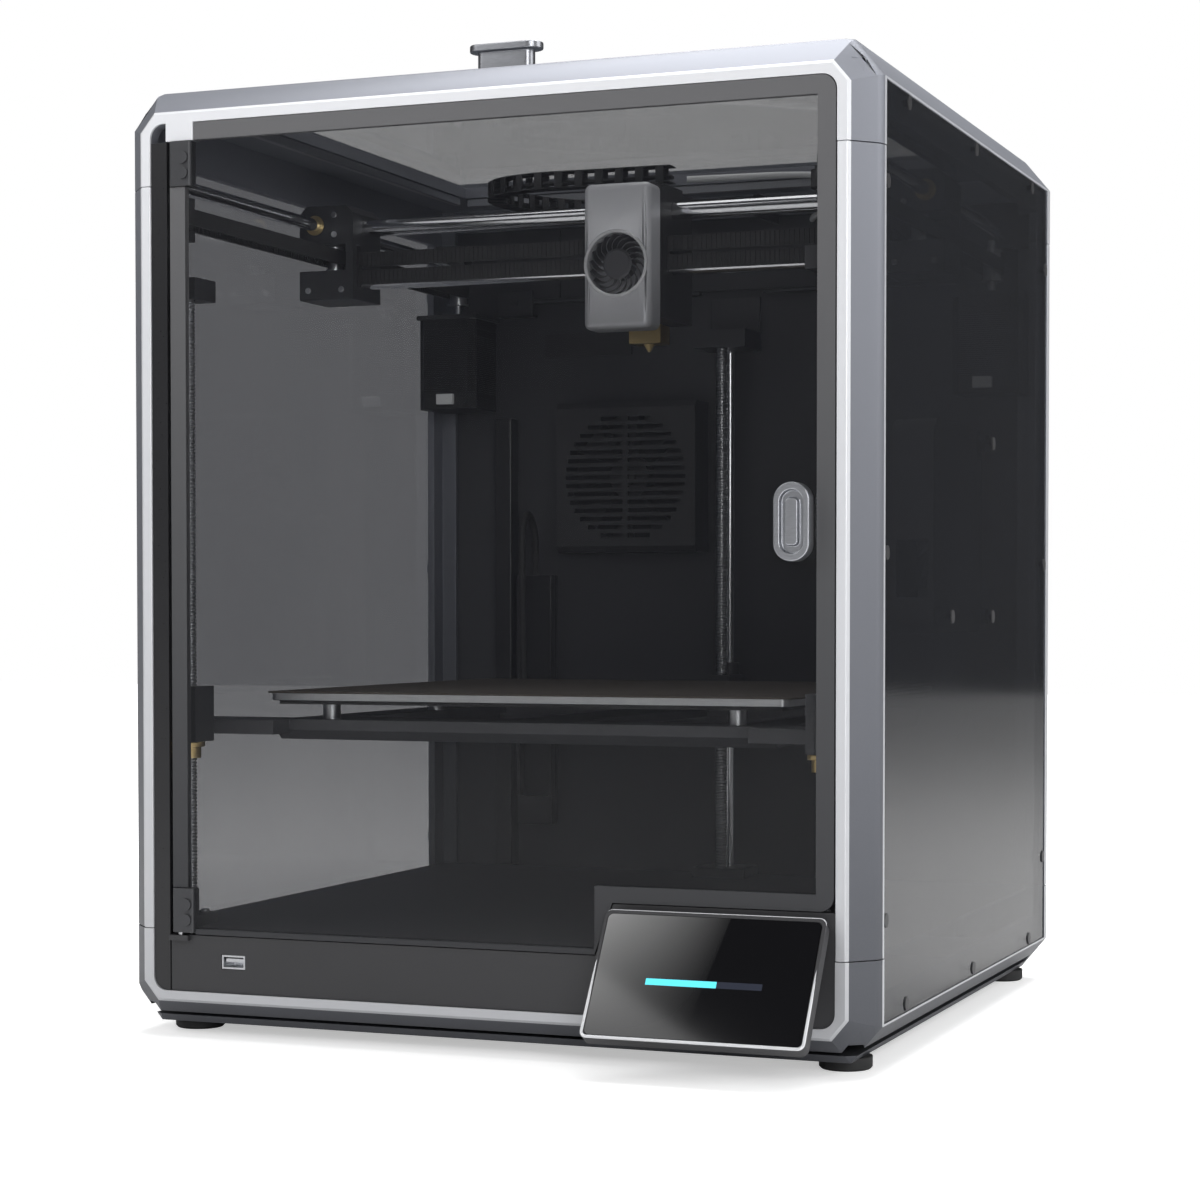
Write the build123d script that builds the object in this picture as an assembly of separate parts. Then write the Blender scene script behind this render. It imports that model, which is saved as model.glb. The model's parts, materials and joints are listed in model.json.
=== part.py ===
from build123d import *
import math
import os

os.makedirs("parts", exist_ok=True)

# An enclosed FDM printer. Sizes are in millimetres, +Z is up and the door faces -Y.
# Depths are measured back from the face of the door frame; save() moves every piece
# into the printer's own frame, whose origin is the bottom centre of its box.

# casing
body_width = 435.0
body_depth = 416.0
body_height = 526.0
foot_height = 6.7
display_reach = 45.9
edge_chamfer_x = 16.0
edge_chamfer_z = 19.3
bevel_depth = 15.8
bevel_inset = 14.6
seam_low = 60.35
seam_high = 472.3
seam_gap = 0.3
wall = 5.0
frame_ring = 20.0
frame_depth = 9.0
ring_bottom = 25.9
ring_top = 506.3
ring_corner = 8.0
side_recess = 4.0
ledge = 15.0
panel_thickness = 3.0
panel_gap = 0.7
panel_low = 26.9
panel_high = 505.8
panel_front = 21.0
panel_back_margin = 6.8
base_thickness = 4.3
ceiling_low = 515.0
rear_wall_inner = 408.0
rear_panel_inner = 412.0
rear_panel_thickness = 2.0
floor_top = 60.6
floor_thickness = 2.0
fit = 0.3
running = 0.05
half_width = body_width / 2
inner_half = half_width - side_recess - wall
front_y = display_reach - (body_depth + display_reach) / 2
mid_depth = body_depth / 2

# lid
lid_half = 167.0
lid_front = 30.0
lid_back = 355.0
lid_lap = 8.0
lid_thickness = 3.8
handle_depth = 41.0
handle_stem_width = 32.5
handle_cap_width = 42.0
handle_cap_depth = 14.0
handle_height = 17.5
handle_cap_thickness = 4.0

# door
door_left = -185.0
door_right = 196.8
door_top = 505.9
door_low = 58.0
door_step_low = 67.0
door_step_high = 77.0
door_high = 85.5
door_front = 0.3
door_thickness = 4.0
door_notch_right = -170.0
door_notch_z = 496.0
pivot_x = -181.0
pivot_depth = 2.0
pin_radius = 1.6
rail_right = -187.4
clamp_right = -171.0
clamp_height = 24.5
clamp_front = -1.5
clamp_back = 6.2
clamp_screw_radius = 3.3
clamp_screw_x = -175.8
clamp_screw_rise = 1.3
pull_x = 176.5
pull_z = 282.2
pull_width = 19.0
pull_height = 40.0
pull_reach = 9.0

# lower front
fascia_front = 1.5
fascia_thickness = 3.0
fascia_top = 57.3
fascia_high = 84.8
usb_x = -148.0
usb_z = 43.3
usb_width = 14.4
usb_height = 7.6
usb_depth = 14.0
display_left = 76.4
display_width = 119.1
display_height = 72.2
display_thickness = 8.0
display_tilt = 32.6
display_top_depth = -7.0
display_top_z = 82.95
bezel = 2.0
foot_radius = 14.0
foot_x = 191.5
foot_depths = (41.0, 398.0)
screw_head = 3.7

# lift
rod_radius = 4.0
lead_radius = 4.0
front_rod = (200.0, 27.0)
front_lead = (185.3, 20.0)
rear_rod = (6.0, 401.0)
rear_lead = (6.0, 384.0)
lead_bottom = 46.0
lead_top = 410.0
top_bracket_low = 411.0
top_bracket_high = 423.0
bottom_bracket_top = 67.0
pulley_radius = 9.0
pulley_low = 48.0
pulley_high = 58.0
motor_size = 42.0
motor_height = 61.0
z_motor_share = 0.35
z_motor_height = 34.0
shaft_radius = 2.5

# bed
bed_half = 154.3
bed_front = 56.5
bed_back = 365.0
bed_low = 186.5
bed_thickness = 4.0
sheet_half = 158.0
sheet_thickness = 1.0
heater_thickness = 2.2
frame_low = 164.5
frame_high = 176.0
standoff_radius = 5.0
standoff_x = 122.0
nut_low = 164.0
nut_high = 195.0

# gantry
y_rod_x = 194.0
y_rod_z = 476.0
mount_length = 12.0
mount_low = 469.0
mount_high = 490.0
post_depth = 18.0
post_radius = 5.8
post_low = 450.5
post_high = 463.5
post_block_length = 16.0
post_block_low = 444.0
post_block_high = 468.5
post_block_inner = 184.0
x_rod_depth = 208.0
x_rod_high = 475.0
x_rod_high_radius = 5.0
x_rod_low = 441.0
x_rod_low_radius = 4.0
carriage_inner = 168.0
carriage_outer = 205.0
carriage_front = 190.0
carriage_back = 228.0
carriage_low = 430.0
carriage_high = 488.0
slot_low = 448.0
slot_high = 464.0
belt_width = 9.0
belt_thickness = 1.5
y_belt_low = 452.0
xy_motor_x = 186.5
xy_motor_depth = 386.5
xy_motor_low = 375.0
xy_pulley_radius = 5.8
xy_pulley_low = 447.0
xy_pulley_high = 467.0
motor_plate_inner = 164.0
motor_plate_thickness = 3.0
x_belt_depth = 198.0
x_belt_zs = (439.0, 450.0)
idler_radius = 4.6
idler_depth = x_belt_depth + 4
axle_radius = 1.5

# tool head
head_x = 15.0
head_width = 42.0
head_front = 166.0
head_split = 184.0
head_back = 240.0
head_low = 402.0
head_high = 487.0
head_fan_z = 440.0
head_fan_radius = 18.6
head_fan_blades = 9
nozzle_depth = 222.0
nozzle_tip = 393.5

# fans on the walls
fan_box_left = -113.0
fan_box_right = -13.0
fan_box_low = 277.0
fan_box_high = 378.0
fan_box_front = 385.0
fan_radius = 43.0
grille_pitch = 5.6
grille_rows = 15
blower_front = 155.0
blower_back = 270.0
blower_low = 225.0
blower_high = 345.0
blower_inner = 184.0
blower_fan_radius = 38.0
blower_screws = ((261.4, 336.0), (163.4, 234.2), (261.4, 234.0))

# rear interfaces
inlet_x = 150.0
inlet_z = 36.0
inlet_width = 27.4
inlet_height = 19.8
switch_x = 112.0
switch_width = 19.4
rocker_depth = 410.2
rocker_pin_radius = 1.4
rocker_pin_length = 2.0
switch_height = 12.9
spool_x = -100.0
spool_z = 420.0
spool_pitch = 40.0
spool_hole = 2.15
filament_x = 60.0
filament_z = 496.0
filament_radius = 2.0
chain_radius = 6.0
bed_cable_radius = 2.5


def block(x0, x1, y0, y1, z0, z1):
    """A box between two corners."""
    centre = ((x0 + x1) / 2, (y0 + y1) / 2, (z0 + z1) / 2)
    return Pos(*centre) * Box(abs(x1 - x0), abs(y1 - y0), abs(z1 - z0))


def upright(radius, x, y, z0, z1):
    """A round bar along Z."""
    return Pos(x, y, (z0 + z1) / 2) * Cylinder(radius, z1 - z0)


def along_y(radius, x, z, y0, y1):
    """A round bar along Y."""
    return Pos(x, (y0 + y1) / 2, z) * Rot(90, 0, 0) * Cylinder(radius, y1 - y0)


def along_x(radius, y, z, x0, x1):
    """A round bar along X."""
    return Pos((x0 + x1) / 2, y, z) * Rot(0, 90, 0) * Cylinder(radius, x1 - x0)


def rounded_plate(x0, x1, z0, z1, y0, y1, corner):
    """An upright plate facing -Y with rounded corners."""
    face = RectangleRounded(x1 - x0, z1 - z0, corner)
    solid = extrude(face, amount=y1 - y0)
    return Pos((x0 + x1) / 2, y1, (z0 + z1) / 2) * Rot(90, 0, 0) * solid


def profile_x(points, x0, x1):
    """A solid whose (depth, z) outline runs from x0 to x1."""
    outline = Plane.YZ * make_face(Polyline(*points, close=True))
    return Pos(x0, 0, 0) * extrude(outline, amount=x1 - x0, dir=(1, 0, 0))


def profile_y(points, y0, y1):
    """A solid whose (x, z) outline runs from y0 to y1."""
    outline = make_face(Polyline(*[(x, 0, z) for x, z in points], close=True))
    return Pos(0, y0, 0) * extrude(outline, amount=y1 - y0, dir=(0, 1, 0))


def both_sides(shape):
    """A piece and its mirror image in the printer's middle plane."""
    return [shape, mirror(shape, about=Plane.YZ)]


def save(name, *shapes):
    """Writes one node, moved from door-frame depths into the printer's own frame."""
    solids = []
    for shape in shapes:
        solids.extend(shape.solids())
    placed = [Pos(0, front_y, 0) * solid for solid in solids]
    whole = placed[0] if len(placed) == 1 else Compound(children=placed)
    export_step(whole, f"parts/{name}.step")


# ---------------------------------------------------------------- casing


def casing_outline():
    """The eight corners of the casing seen from the front."""
    low = foot_height
    high = body_height
    x_flat = half_width - edge_chamfer_x
    return [
        (-x_flat, low),
        (x_flat, low),
        (half_width, low + edge_chamfer_z),
        (half_width, high - edge_chamfer_z),
        (x_flat, high),
        (-x_flat, high),
        (-half_width, high - edge_chamfer_z),
        (-half_width, low + edge_chamfer_z),
    ]


def casing_bevel():
    """The front of the casing, which narrows to the door frame's face."""
    outline = make_face(Polyline(*[(x, bevel_depth, z) for x, z in casing_outline()], close=True))
    taper = math.degrees(math.atan(bevel_inset / bevel_depth))
    return extrude(outline, amount=bevel_depth, dir=(0, -1, 0), taper=taper)


def casing():
    """The whole casing before it is split: frame ring, side ledges, base and ceiling."""
    body = profile_y(casing_outline(), bevel_depth, body_depth) + casing_bevel()
    body -= block(
        -inner_half, inner_half, frame_depth, rear_wall_inner, foot_height + base_thickness, ceiling_low
    )
    ring_half = half_width - frame_ring
    body -= rounded_plate(-ring_half, ring_half, ring_bottom, ring_top, -5, frame_depth + 5, ring_corner)
    panel_back = body_depth - panel_back_margin
    for side in (-1, 1):
        recess = block(
            side * (half_width - side_recess),
            side * (half_width + 5),
            panel_front,
            panel_back,
            panel_low,
            panel_high,
        )
        window = block(
            side * (inner_half - 5),
            side * (half_width + 5),
            panel_front + ledge,
            panel_back - ledge,
            panel_low + ledge,
            panel_high - ledge,
        )
        body -= recess
        body -= window
    body -= block(-lid_half, lid_half, lid_front, lid_back, ceiling_low - 5, body_height + 5)
    body -= block(
        -lid_half - lid_lap,
        lid_half + lid_lap,
        lid_front - lid_lap,
        lid_back + lid_lap,
        body_height - lid_thickness - 0.2,
        body_height + 5,
    )
    rear_half = inner_half - 10
    body -= block(-rear_half, rear_half, rear_wall_inner - 5, body_depth + 5, 24, ring_top - 6)
    body -= block(-inner_half, inner_half, rear_panel_inner, body_depth + 5, 16, ceiling_low - 1)
    return body


def base_vents():
    """Rows of slots through the base below the power supply and the mainboard."""
    slots = []
    for column in (-110, 20):
        for row in range(10):
            depth = 90 + 12 * row
            slots.append(block(column, column + 90, depth, depth + 4, foot_height - 1, 20))
    return slots


def make_casing():
    """The top frame, the bottom frame and the four columns between them."""
    body = casing()
    half_gap = seam_gap / 2
    far = 600
    top = body & block(-far, far, -far, far, seam_high + half_gap, far)
    bottom = body & block(-far, far, -far, far, 0, seam_low - half_gap)
    middle = body & block(-far, far, -far, far, seam_low + half_gap, seam_high - half_gap)
    for slot in base_vents():
        bottom -= slot
    for depth in foot_depths:
        for side in (-1, 1):
            bottom -= upright(2.2, side * foot_x, depth, 0, 30)
    tab = block(rail_right, door_notch_right - 0.4, 0, frame_depth, door_notch_z + fit, ring_top + 1)
    top += tab
    top -= upright(pin_radius + running, pivot_x, pivot_depth, 490, 503)
    save("top_frame", top)
    save("bottom_frame", bottom)
    columns = middle.solids()
    save("front_columns", *[c for c in columns if c.center().Y < mid_depth])
    save("rear_columns", *[c for c in columns if c.center().Y > mid_depth])


def screw_places():
    """Depth and height of each side panel screw."""
    front_column = panel_front + 4.4
    rear_column = body_depth - panel_back_margin - 4.4
    places = [(d, z) for d in (front_column, rear_column) for z in (79.5, 267.0, 455.0)]
    places += [(d, z) for d in (66.7, 216.0, 364.7) for z in (panel_low + 4.4, panel_high - 4.4)]
    return places


def make_side_panels():
    """Smoked panels set into the sides, with button screws along their edges."""
    panel_back = body_depth - panel_back_margin
    outer = half_width - panel_gap
    panel = block(
        outer - panel_thickness,
        outer,
        panel_front + fit,
        panel_back - fit,
        panel_low + fit,
        panel_high - fit,
    )
    panel = fillet(panel.edges().filter_by(Axis.X), 5)
    screws = []
    for depth, z in screw_places():
        panel -= along_x(1.6, depth, z, outer - 8, outer + 3)
        head = along_x(screw_head, depth, z, outer, outer + 0.65)
        shank = along_x(1.5, depth, z, outer - panel_thickness, outer)
        screws.append(head + shank)
    left = mirror(panel, about=Plane.YZ)
    heads = [part for screw in screws for part in both_sides(screw)]
    for depth, z in blower_screws:
        panel -= along_x(1.6, depth, z, outer - 8, outer + 3)
        head = along_x(screw_head, depth, z, outer, outer + 0.65)
        heads.append(head + along_x(1.5, depth, z, outer - panel_thickness - 2, outer))
    save("side_glass_right", panel)
    save("side_glass_left", left)
    save("panel_screws", *heads)


def make_feet():
    """Four round rubber feet."""
    feet = []
    for depth in foot_depths:
        for side in (-1, 1):
            foot = upright(foot_radius, side * foot_x, depth, 0, foot_height)
            feet.append(chamfer(foot.edges().sort_by(Axis.Z)[0], 1.2))
    save("feet", *feet)


def make_floor():
    """The chamber floor over the electronics bay."""
    floor = block(
        -inner_half + fit,
        inner_half - fit,
        frame_depth + fit,
        rear_wall_inner - fit,
        floor_top - floor_thickness,
        floor_top,
    )
    for side in (-1, 1):
        floor -= upright(lead_radius + 3, side * front_lead[0], front_lead[1], 50, 70)
    floor -= upright(lead_radius + 3, *rear_lead, 50, 70)
    save("floor_pan", floor)


def make_rear_panel():
    """The back cover with its inlets, vents and spool holder holes."""
    back = rear_panel_inner + rear_panel_thickness
    panel = block(
        -inner_half + fit, inner_half - fit, rear_panel_inner, back, 16 + fit, ceiling_low - 1 - fit
    )
    near = rear_panel_inner - 5
    far = body_depth + 5
    panel -= block(
        inlet_x - inlet_width / 2, inlet_x + inlet_width / 2, near, far, inlet_z - inlet_height / 2,
        inlet_z + inlet_height / 2,
    )
    panel -= block(
        switch_x - switch_width / 2, switch_x + switch_width / 2, near, far, inlet_z - switch_height / 2,
        inlet_z + switch_height / 2,
    )
    for side in (-1, 1):
        panel -= along_y(spool_hole, spool_x + side * spool_pitch / 2, spool_z, near, far)
    panel -= along_y(filament_radius + running, filament_x, filament_z, near, far)
    fan_x = (fan_box_left + fan_box_right) / 2
    fan_z = (fan_box_low + fan_box_high) / 2
    for row in range(grille_rows):
        z = fan_z + (row - (grille_rows - 1) / 2) * grille_pitch
        reach = math.sqrt(max(fan_radius**2 - (z - fan_z) ** 2, 60))
        panel -= block(fan_x - reach, fan_x + reach, near, far, z - 1.4, z + 1.4)
    for row in range(8):
        z = 24 + 4.6 * row
        panel -= block(-150, -60, near, far, z - 1.1, z + 1.1)
    save("rear_panel", panel)


# ---------------------------------------------------------------- lid and door


def make_lid():
    """The lift-off glass lid and its T-shaped handle."""
    lap = lid_lap - fit
    low = body_height - lid_thickness - 0.2
    reach = lid_half + lap
    glass = block(-reach, reach, lid_front - lap, lid_back + lap, low, low + lid_thickness)
    glass = fillet(glass.edges().filter_by(Axis.Z), 3)
    top = low + lid_thickness
    cap_low = top + handle_height - handle_cap_thickness
    stem_outline = RectangleRounded(handle_stem_width, 9, 4)
    stem = Pos(0, handle_depth, top) * extrude(stem_outline, amount=cap_low - top)
    cap_outline = RectangleRounded(handle_cap_width, handle_cap_depth, handle_cap_depth / 2 - 0.1)
    cap = Pos(0, handle_depth, cap_low) * extrude(cap_outline, amount=handle_cap_thickness)
    save("lid_glass", glass)
    save("lid_handle", stem + cap)


def make_door():
    """The glass door, the two clamps on its pivot edge, its pull and the hinge rail."""
    outline = [
        (door_left, door_low),
        (door_step_low, door_low),
        (door_step_high, door_high),
        (door_right, door_high),
        (door_right, door_top),
        (door_notch_right, door_top),
        (door_notch_right, door_notch_z),
        (door_left, door_notch_z),
    ]
    glass = profile_y(outline, door_front, door_front + door_thickness)
    clamps = []
    pins = []
    upper = door_notch_z - 0.2 - clamp_height
    lower = door_low + 1
    spans = ((upper, upper + clamp_height), (lower, lower + clamp_height))
    for low, high in spans:
        cutout = block(door_left - 1, clamp_right, -5, 10, low - fit, high + fit)
        if low < door_high:
            cutout = block(door_left - 1, clamp_right, -5, 10, 0, high + fit)
        glass -= cutout
        clamp = block(door_left + 0.3, clamp_right - fit, clamp_front, clamp_back, low, high)
        clamp = fillet(clamp.edges().filter_by(Axis.Z), 1.5)
        clamp -= upright(pin_radius + running, pivot_x, pivot_depth, low - 1, high + 1)
        for z in (low + 7, high - 9):
            clamp += along_y(clamp_screw_radius, clamp_screw_x, z, clamp_front - clamp_screw_rise, clamp_front)
        clamps.append(clamp)
    pins.append(upright(pin_radius, pivot_x, pivot_depth, spans[0][0], 502.5))
    pins.append(upright(pin_radius, pivot_x, pivot_depth, 55.4, spans[1][1]))
    edge_corners = [e for e in glass.edges().filter_by(Axis.Y) if e.center().X > door_right - 1]
    glass = fillet(edge_corners, ring_corner - fit)
    pull_size = RectangleRounded(pull_width, pull_height, pull_width / 2 - 0.1)
    pull = Pos(pull_x, door_front, pull_z) * Rot(90, 0, 0) * extrude(pull_size, amount=pull_reach)
    groove = RectangleRounded(pull_width - 7, pull_height - 8, (pull_width - 7) / 2 - 0.1)
    bar = RectangleRounded(pull_width - 12, pull_height - 16, 2.5)
    recess_place = Pos(pull_x, door_front - pull_reach + 3, pull_z) * Rot(90, 0, 0)
    recess = recess_place * extrude(groove - bar, amount=5)
    save("door_glass", glass)
    save("door_clamps", *clamps)
    save("door_handle", pull - recess)
    save("hinge_pins", *pins)


def make_hinge_rail():
    """The upright strip beside the door, with the lower pin's tab."""
    ring_half = half_width - frame_ring
    rail = block(-ring_half + fit, rail_right, 1.0, 6.0, ring_bottom + fit, door_notch_z)
    corner = rail.edges().filter_by(Axis.Y).group_by(Axis.Z)[0].sort_by(Axis.X)[0]
    save("hinge_rail", fillet(corner, ring_corner - fit))


# ---------------------------------------------------------------- lower front


def make_fascia():
    """The panel below the door, stepped up behind the display, with the USB recess."""
    edge = half_width - frame_ring - fit
    low = ring_bottom + fit
    left = rail_right + 0.5
    outline = [
        (left, low),
        (edge, low),
        (edge, fascia_high),
        (door_step_high, fascia_high),
        (door_step_low, fascia_top),
        (left, fascia_top),
    ]
    back = fascia_front + fascia_thickness
    plate = profile_y(outline, fascia_front, back)
    corner = plate.edges().filter_by(Axis.Y).group_by(Axis.Z)[0].sort_by(Axis.X)[-1]
    plate = fillet(corner, ring_corner - fit)
    flange_back = frame_depth - fit
    plate += block(left, door_step_low, back, flange_back, fascia_top - 3, fascia_top)
    plate += block(door_step_high, edge, back, flange_back, fascia_high - 3, fascia_high)
    plate += block(left, clamp_right - 4, clamp_front, fascia_front, fascia_top - 3, fascia_top)
    plate -= upright(pin_radius + running, pivot_x, pivot_depth, 55.3, 60)
    plate -= block(
        usb_x - usb_width / 2 - fit,
        usb_x + usb_width / 2 + fit,
        0,
        back + 1,
        usb_z - usb_height / 2 - fit,
        usb_z + usb_height / 2 + fit,
    )
    save("lower_fascia", plate)
    shell = block(
        usb_x - usb_width / 2,
        usb_x + usb_width / 2,
        fascia_front + 0.4,
        fascia_front + usb_depth,
        usb_z - usb_height / 2,
        usb_z + usb_height / 2,
    )
    shell -= block(
        usb_x - usb_width / 2 + 1,
        usb_x + usb_width / 2 - 1,
        0,
        fascia_front + usb_depth - 2,
        usb_z - usb_height / 2 + 1,
        usb_z + usb_height / 2 - 1,
    )
    tongue = block(
        usb_x - usb_width / 2 + 1.8,
        usb_x + usb_width / 2 - 1.8,
        fascia_front + 2,
        fascia_front + usb_depth - 1,
        usb_z,
        usb_z + 1.8,
    )
    save("usb_socket", shell + tongue)


def display_place():
    """The display's middle, turned to face forwards and up."""
    lean = math.radians(display_tilt)
    drop = display_height / 2
    depth = display_top_depth - drop * math.sin(lean)
    z = display_top_z - drop * math.cos(lean)
    return Pos(display_left + display_width / 2, depth, z) * Rot(90 - display_tilt, 0, 0)


def make_display():
    """The tilted display: housing with a bezel, its bracket and the screen glass."""
    shell = extrude(RectangleRounded(display_width, display_height, 4), amount=-display_thickness)
    pocket_outline = RectangleRounded(display_width - 2 * bezel, display_height - 2 * bezel, 3)
    pocket = extrude(pocket_outline, amount=-1.8)
    glass_face = RectangleRounded(display_width - 2 * bezel - 0.4, display_height - 2 * bezel - 0.4, 2.8)
    glass = Pos(0, 0, -1.8) * extrude(glass_face, amount=1.6)
    lean = math.radians(display_tilt)
    top_depth = display_top_depth + display_thickness * math.cos(lean)
    top = (top_depth, display_top_z - display_thickness * math.sin(lean))
    slope = math.tan(lean)
    bracket_front = fascia_front - 0.1
    low = top[1] - 42
    bracket = [
        (bracket_front, top[1] - 1),
        (bracket_front, low),
        (top[0] - (top[1] - low) * slope, low),
        (top[0] - slope, top[1] - 1),
    ]
    left = display_left + 14
    right = display_left + display_width - 14
    save("display_housing", display_place() * (shell - pocket), profile_x(bracket, left, right))
    save("display_glass", display_place() * glass)


# ---------------------------------------------------------------- lift


def sides_of(place):
    """A front place on the left and its mirror on the right."""
    return [(-place[0], place[1]), place]


def make_lift():
    """Guide rods, lead screws with their pulleys, and the blocks that hold both ends."""
    rods = []
    blocks = []
    for x, depth in sides_of(front_rod) + [rear_rod]:
        rods.append(upright(rod_radius, x, depth, floor_top + 1, top_bracket_high - 1))
    for side in (-1, 1):
        outer = side * (inner_half - fit)
        inner = side * (front_lead[0] - 8.5)
        for low, high in ((top_bracket_low, top_bracket_high), (floor_top, bottom_bracket_top)):
            holder = block(outer, inner, front_lead[1] - 7.0, front_rod[1] + 9.0, low, high)
            holder -= upright(rod_radius + running, side * front_rod[0], front_rod[1], low - 1, high + 1)
            holder -= upright(lead_radius + running, side * front_lead[0], front_lead[1], low - 1, high + 1)
            blocks.append(holder)
    for low, high in ((top_bracket_low, top_bracket_high), (floor_top, bottom_bracket_top)):
        back = rear_wall_inner + 3.7 if low > floor_top else rear_wall_inner - 1
        holder = block(rear_lead[0] - 18, rear_lead[0] + 18, rear_lead[1] - 6.5, back, low, high)
        if low > floor_top:
            for x in (rear_lead[0] - 18, rear_lead[0] + 16):
                gusset = [(back - 3, high), (back, high), (back, high + 24), (back - 2, high + 24)]
                holder += profile_x(gusset, x, x + 2)
            holder += block(rear_lead[0] - 18, rear_lead[0] + 18, back - 2, back, high, high + 24)
        holder -= upright(rod_radius + running, *rear_rod, low - 1, high + 1)
        holder -= upright(lead_radius + running, *rear_lead, low - 1, high + 1)
        blocks.append(holder)
    save("z_rods", *rods)
    save("z_bearing_blocks", *blocks)
    names = ("z_screw_front_left", "z_screw_front_right", "z_screw_rear")
    for name, (x, depth) in zip(names, sides_of(front_lead) + [rear_lead]):
        lead = upright(lead_radius, x, depth, lead_bottom, lead_top + 8)
        pulley = toothed_pulley(x, depth, pulley_radius, lead_radius, pulley_low, pulley_high)
        save(name, lead, pulley)


def toothed_pulley(x, depth, radius, bore, low, high):
    """A belt pulley with two flanges, a hub and its bore."""
    wheel = upright(radius, x, depth, low, high)
    wheel += upright(radius + 1.5, x, depth, low, low + 1)
    wheel += upright(radius + 1.5, x, depth, high - 1, high)
    wheel -= upright(bore, x, depth, low - 1, high + 1)
    return wheel


def stepper(x, depth, low, height):
    """A square motor: body with cut corners, a pilot boss and mounting holes."""
    body = extrude(Rectangle(motor_size, motor_size), amount=height)
    body = chamfer(body.edges().filter_by(Axis.Z), 4.5)
    groove = Box(60, 60, 1) - Box(41, 41, 1)
    body -= [Pos(0, 0, 7) * groove, Pos(0, 0, height - 7) * groove]
    body += Pos(0, 0, height) * extrude(Circle(11), amount=2)
    for sx in (-15.5, 15.5):
        for sy in (-15.5, 15.5):
            body -= Pos(sx, sy, height - 2.2) * Cylinder(1.5, 5)
    body -= Pos(0, 0, height) * Cylinder(shaft_radius + running, 30)
    return Pos(x, depth, low) * body


def make_drives():
    """The lift motor under the floor, the two belt motors and all motor pulleys."""
    x = front_lead[0] + z_motor_share * (rear_lead[0] - front_lead[0])
    depth = front_lead[1] + z_motor_share * (rear_lead[1] - front_lead[1])
    z_motor = stepper(x, depth, foot_height + base_thickness, z_motor_height)
    xy_motors = [stepper(side * xy_motor_x, xy_motor_depth, xy_motor_low, motor_height) for side in (-1, 1)]
    save("stepper_motors", z_motor, *xy_motors)
    motor_top = foot_height + base_thickness + z_motor_height
    shaft = upright(shaft_radius, x, depth, motor_top - 12, pulley_high)
    wheel = toothed_pulley(x, depth, pulley_radius, shaft_radius, pulley_low, pulley_high)
    save("z_motor_pulley", shaft, wheel)
    top = xy_motor_low + motor_height
    for side, name in ((-1, "motor_pulley_left"), (1, "motor_pulley_right")):
        px = side * xy_motor_x
        shaft = upright(shaft_radius, px, xy_motor_depth, top - 12, xy_pulley_high + 6)
        place = (px, xy_motor_depth)
        wheel = toothed_pulley(*place, xy_pulley_radius, shaft_radius, xy_pulley_low, xy_pulley_high)
        save(name, shaft, wheel)


def make_z_belt():
    """The toothed belt that ties the three lead screws together."""
    inner = pulley_radius + 0.4
    places = sides_of(front_lead) + [rear_lead]
    outer_loop = make_hull([Pos(x, y) * Circle(inner + belt_thickness).edge() for x, y in places])
    inner_loop = make_hull([Pos(x, y) * Circle(inner).edge() for x, y in places])
    loop = extrude(outer_loop - inner_loop, amount=pulley_high - pulley_low - 3)
    save("z_belt", Pos(0, 0, pulley_low + 1.5) * loop)


# ---------------------------------------------------------------- bed


def nut_block(x_lead, depth_lead, x_rod, depth_rod):
    """A block that holds a lead screw nut and a rod bearing side by side."""
    x0 = min(x_lead, x_rod) - 7.6
    x1 = max(x_lead, x_rod) + 7.6
    y0 = min(depth_lead, depth_rod) - 7.0
    y1 = max(depth_lead, depth_rod) + 6.6
    body = block(x0, x1, y0, y1, nut_low, nut_high)
    body += upright(6.6, x_rod, depth_rod, nut_high, nut_high + 8)
    body -= upright(rod_radius + running, x_rod, depth_rod, nut_low - 5, nut_high + 12)
    body -= upright(lead_radius + running, x_lead, depth_lead, nut_low - 5, nut_high + 12)
    return body


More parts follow.
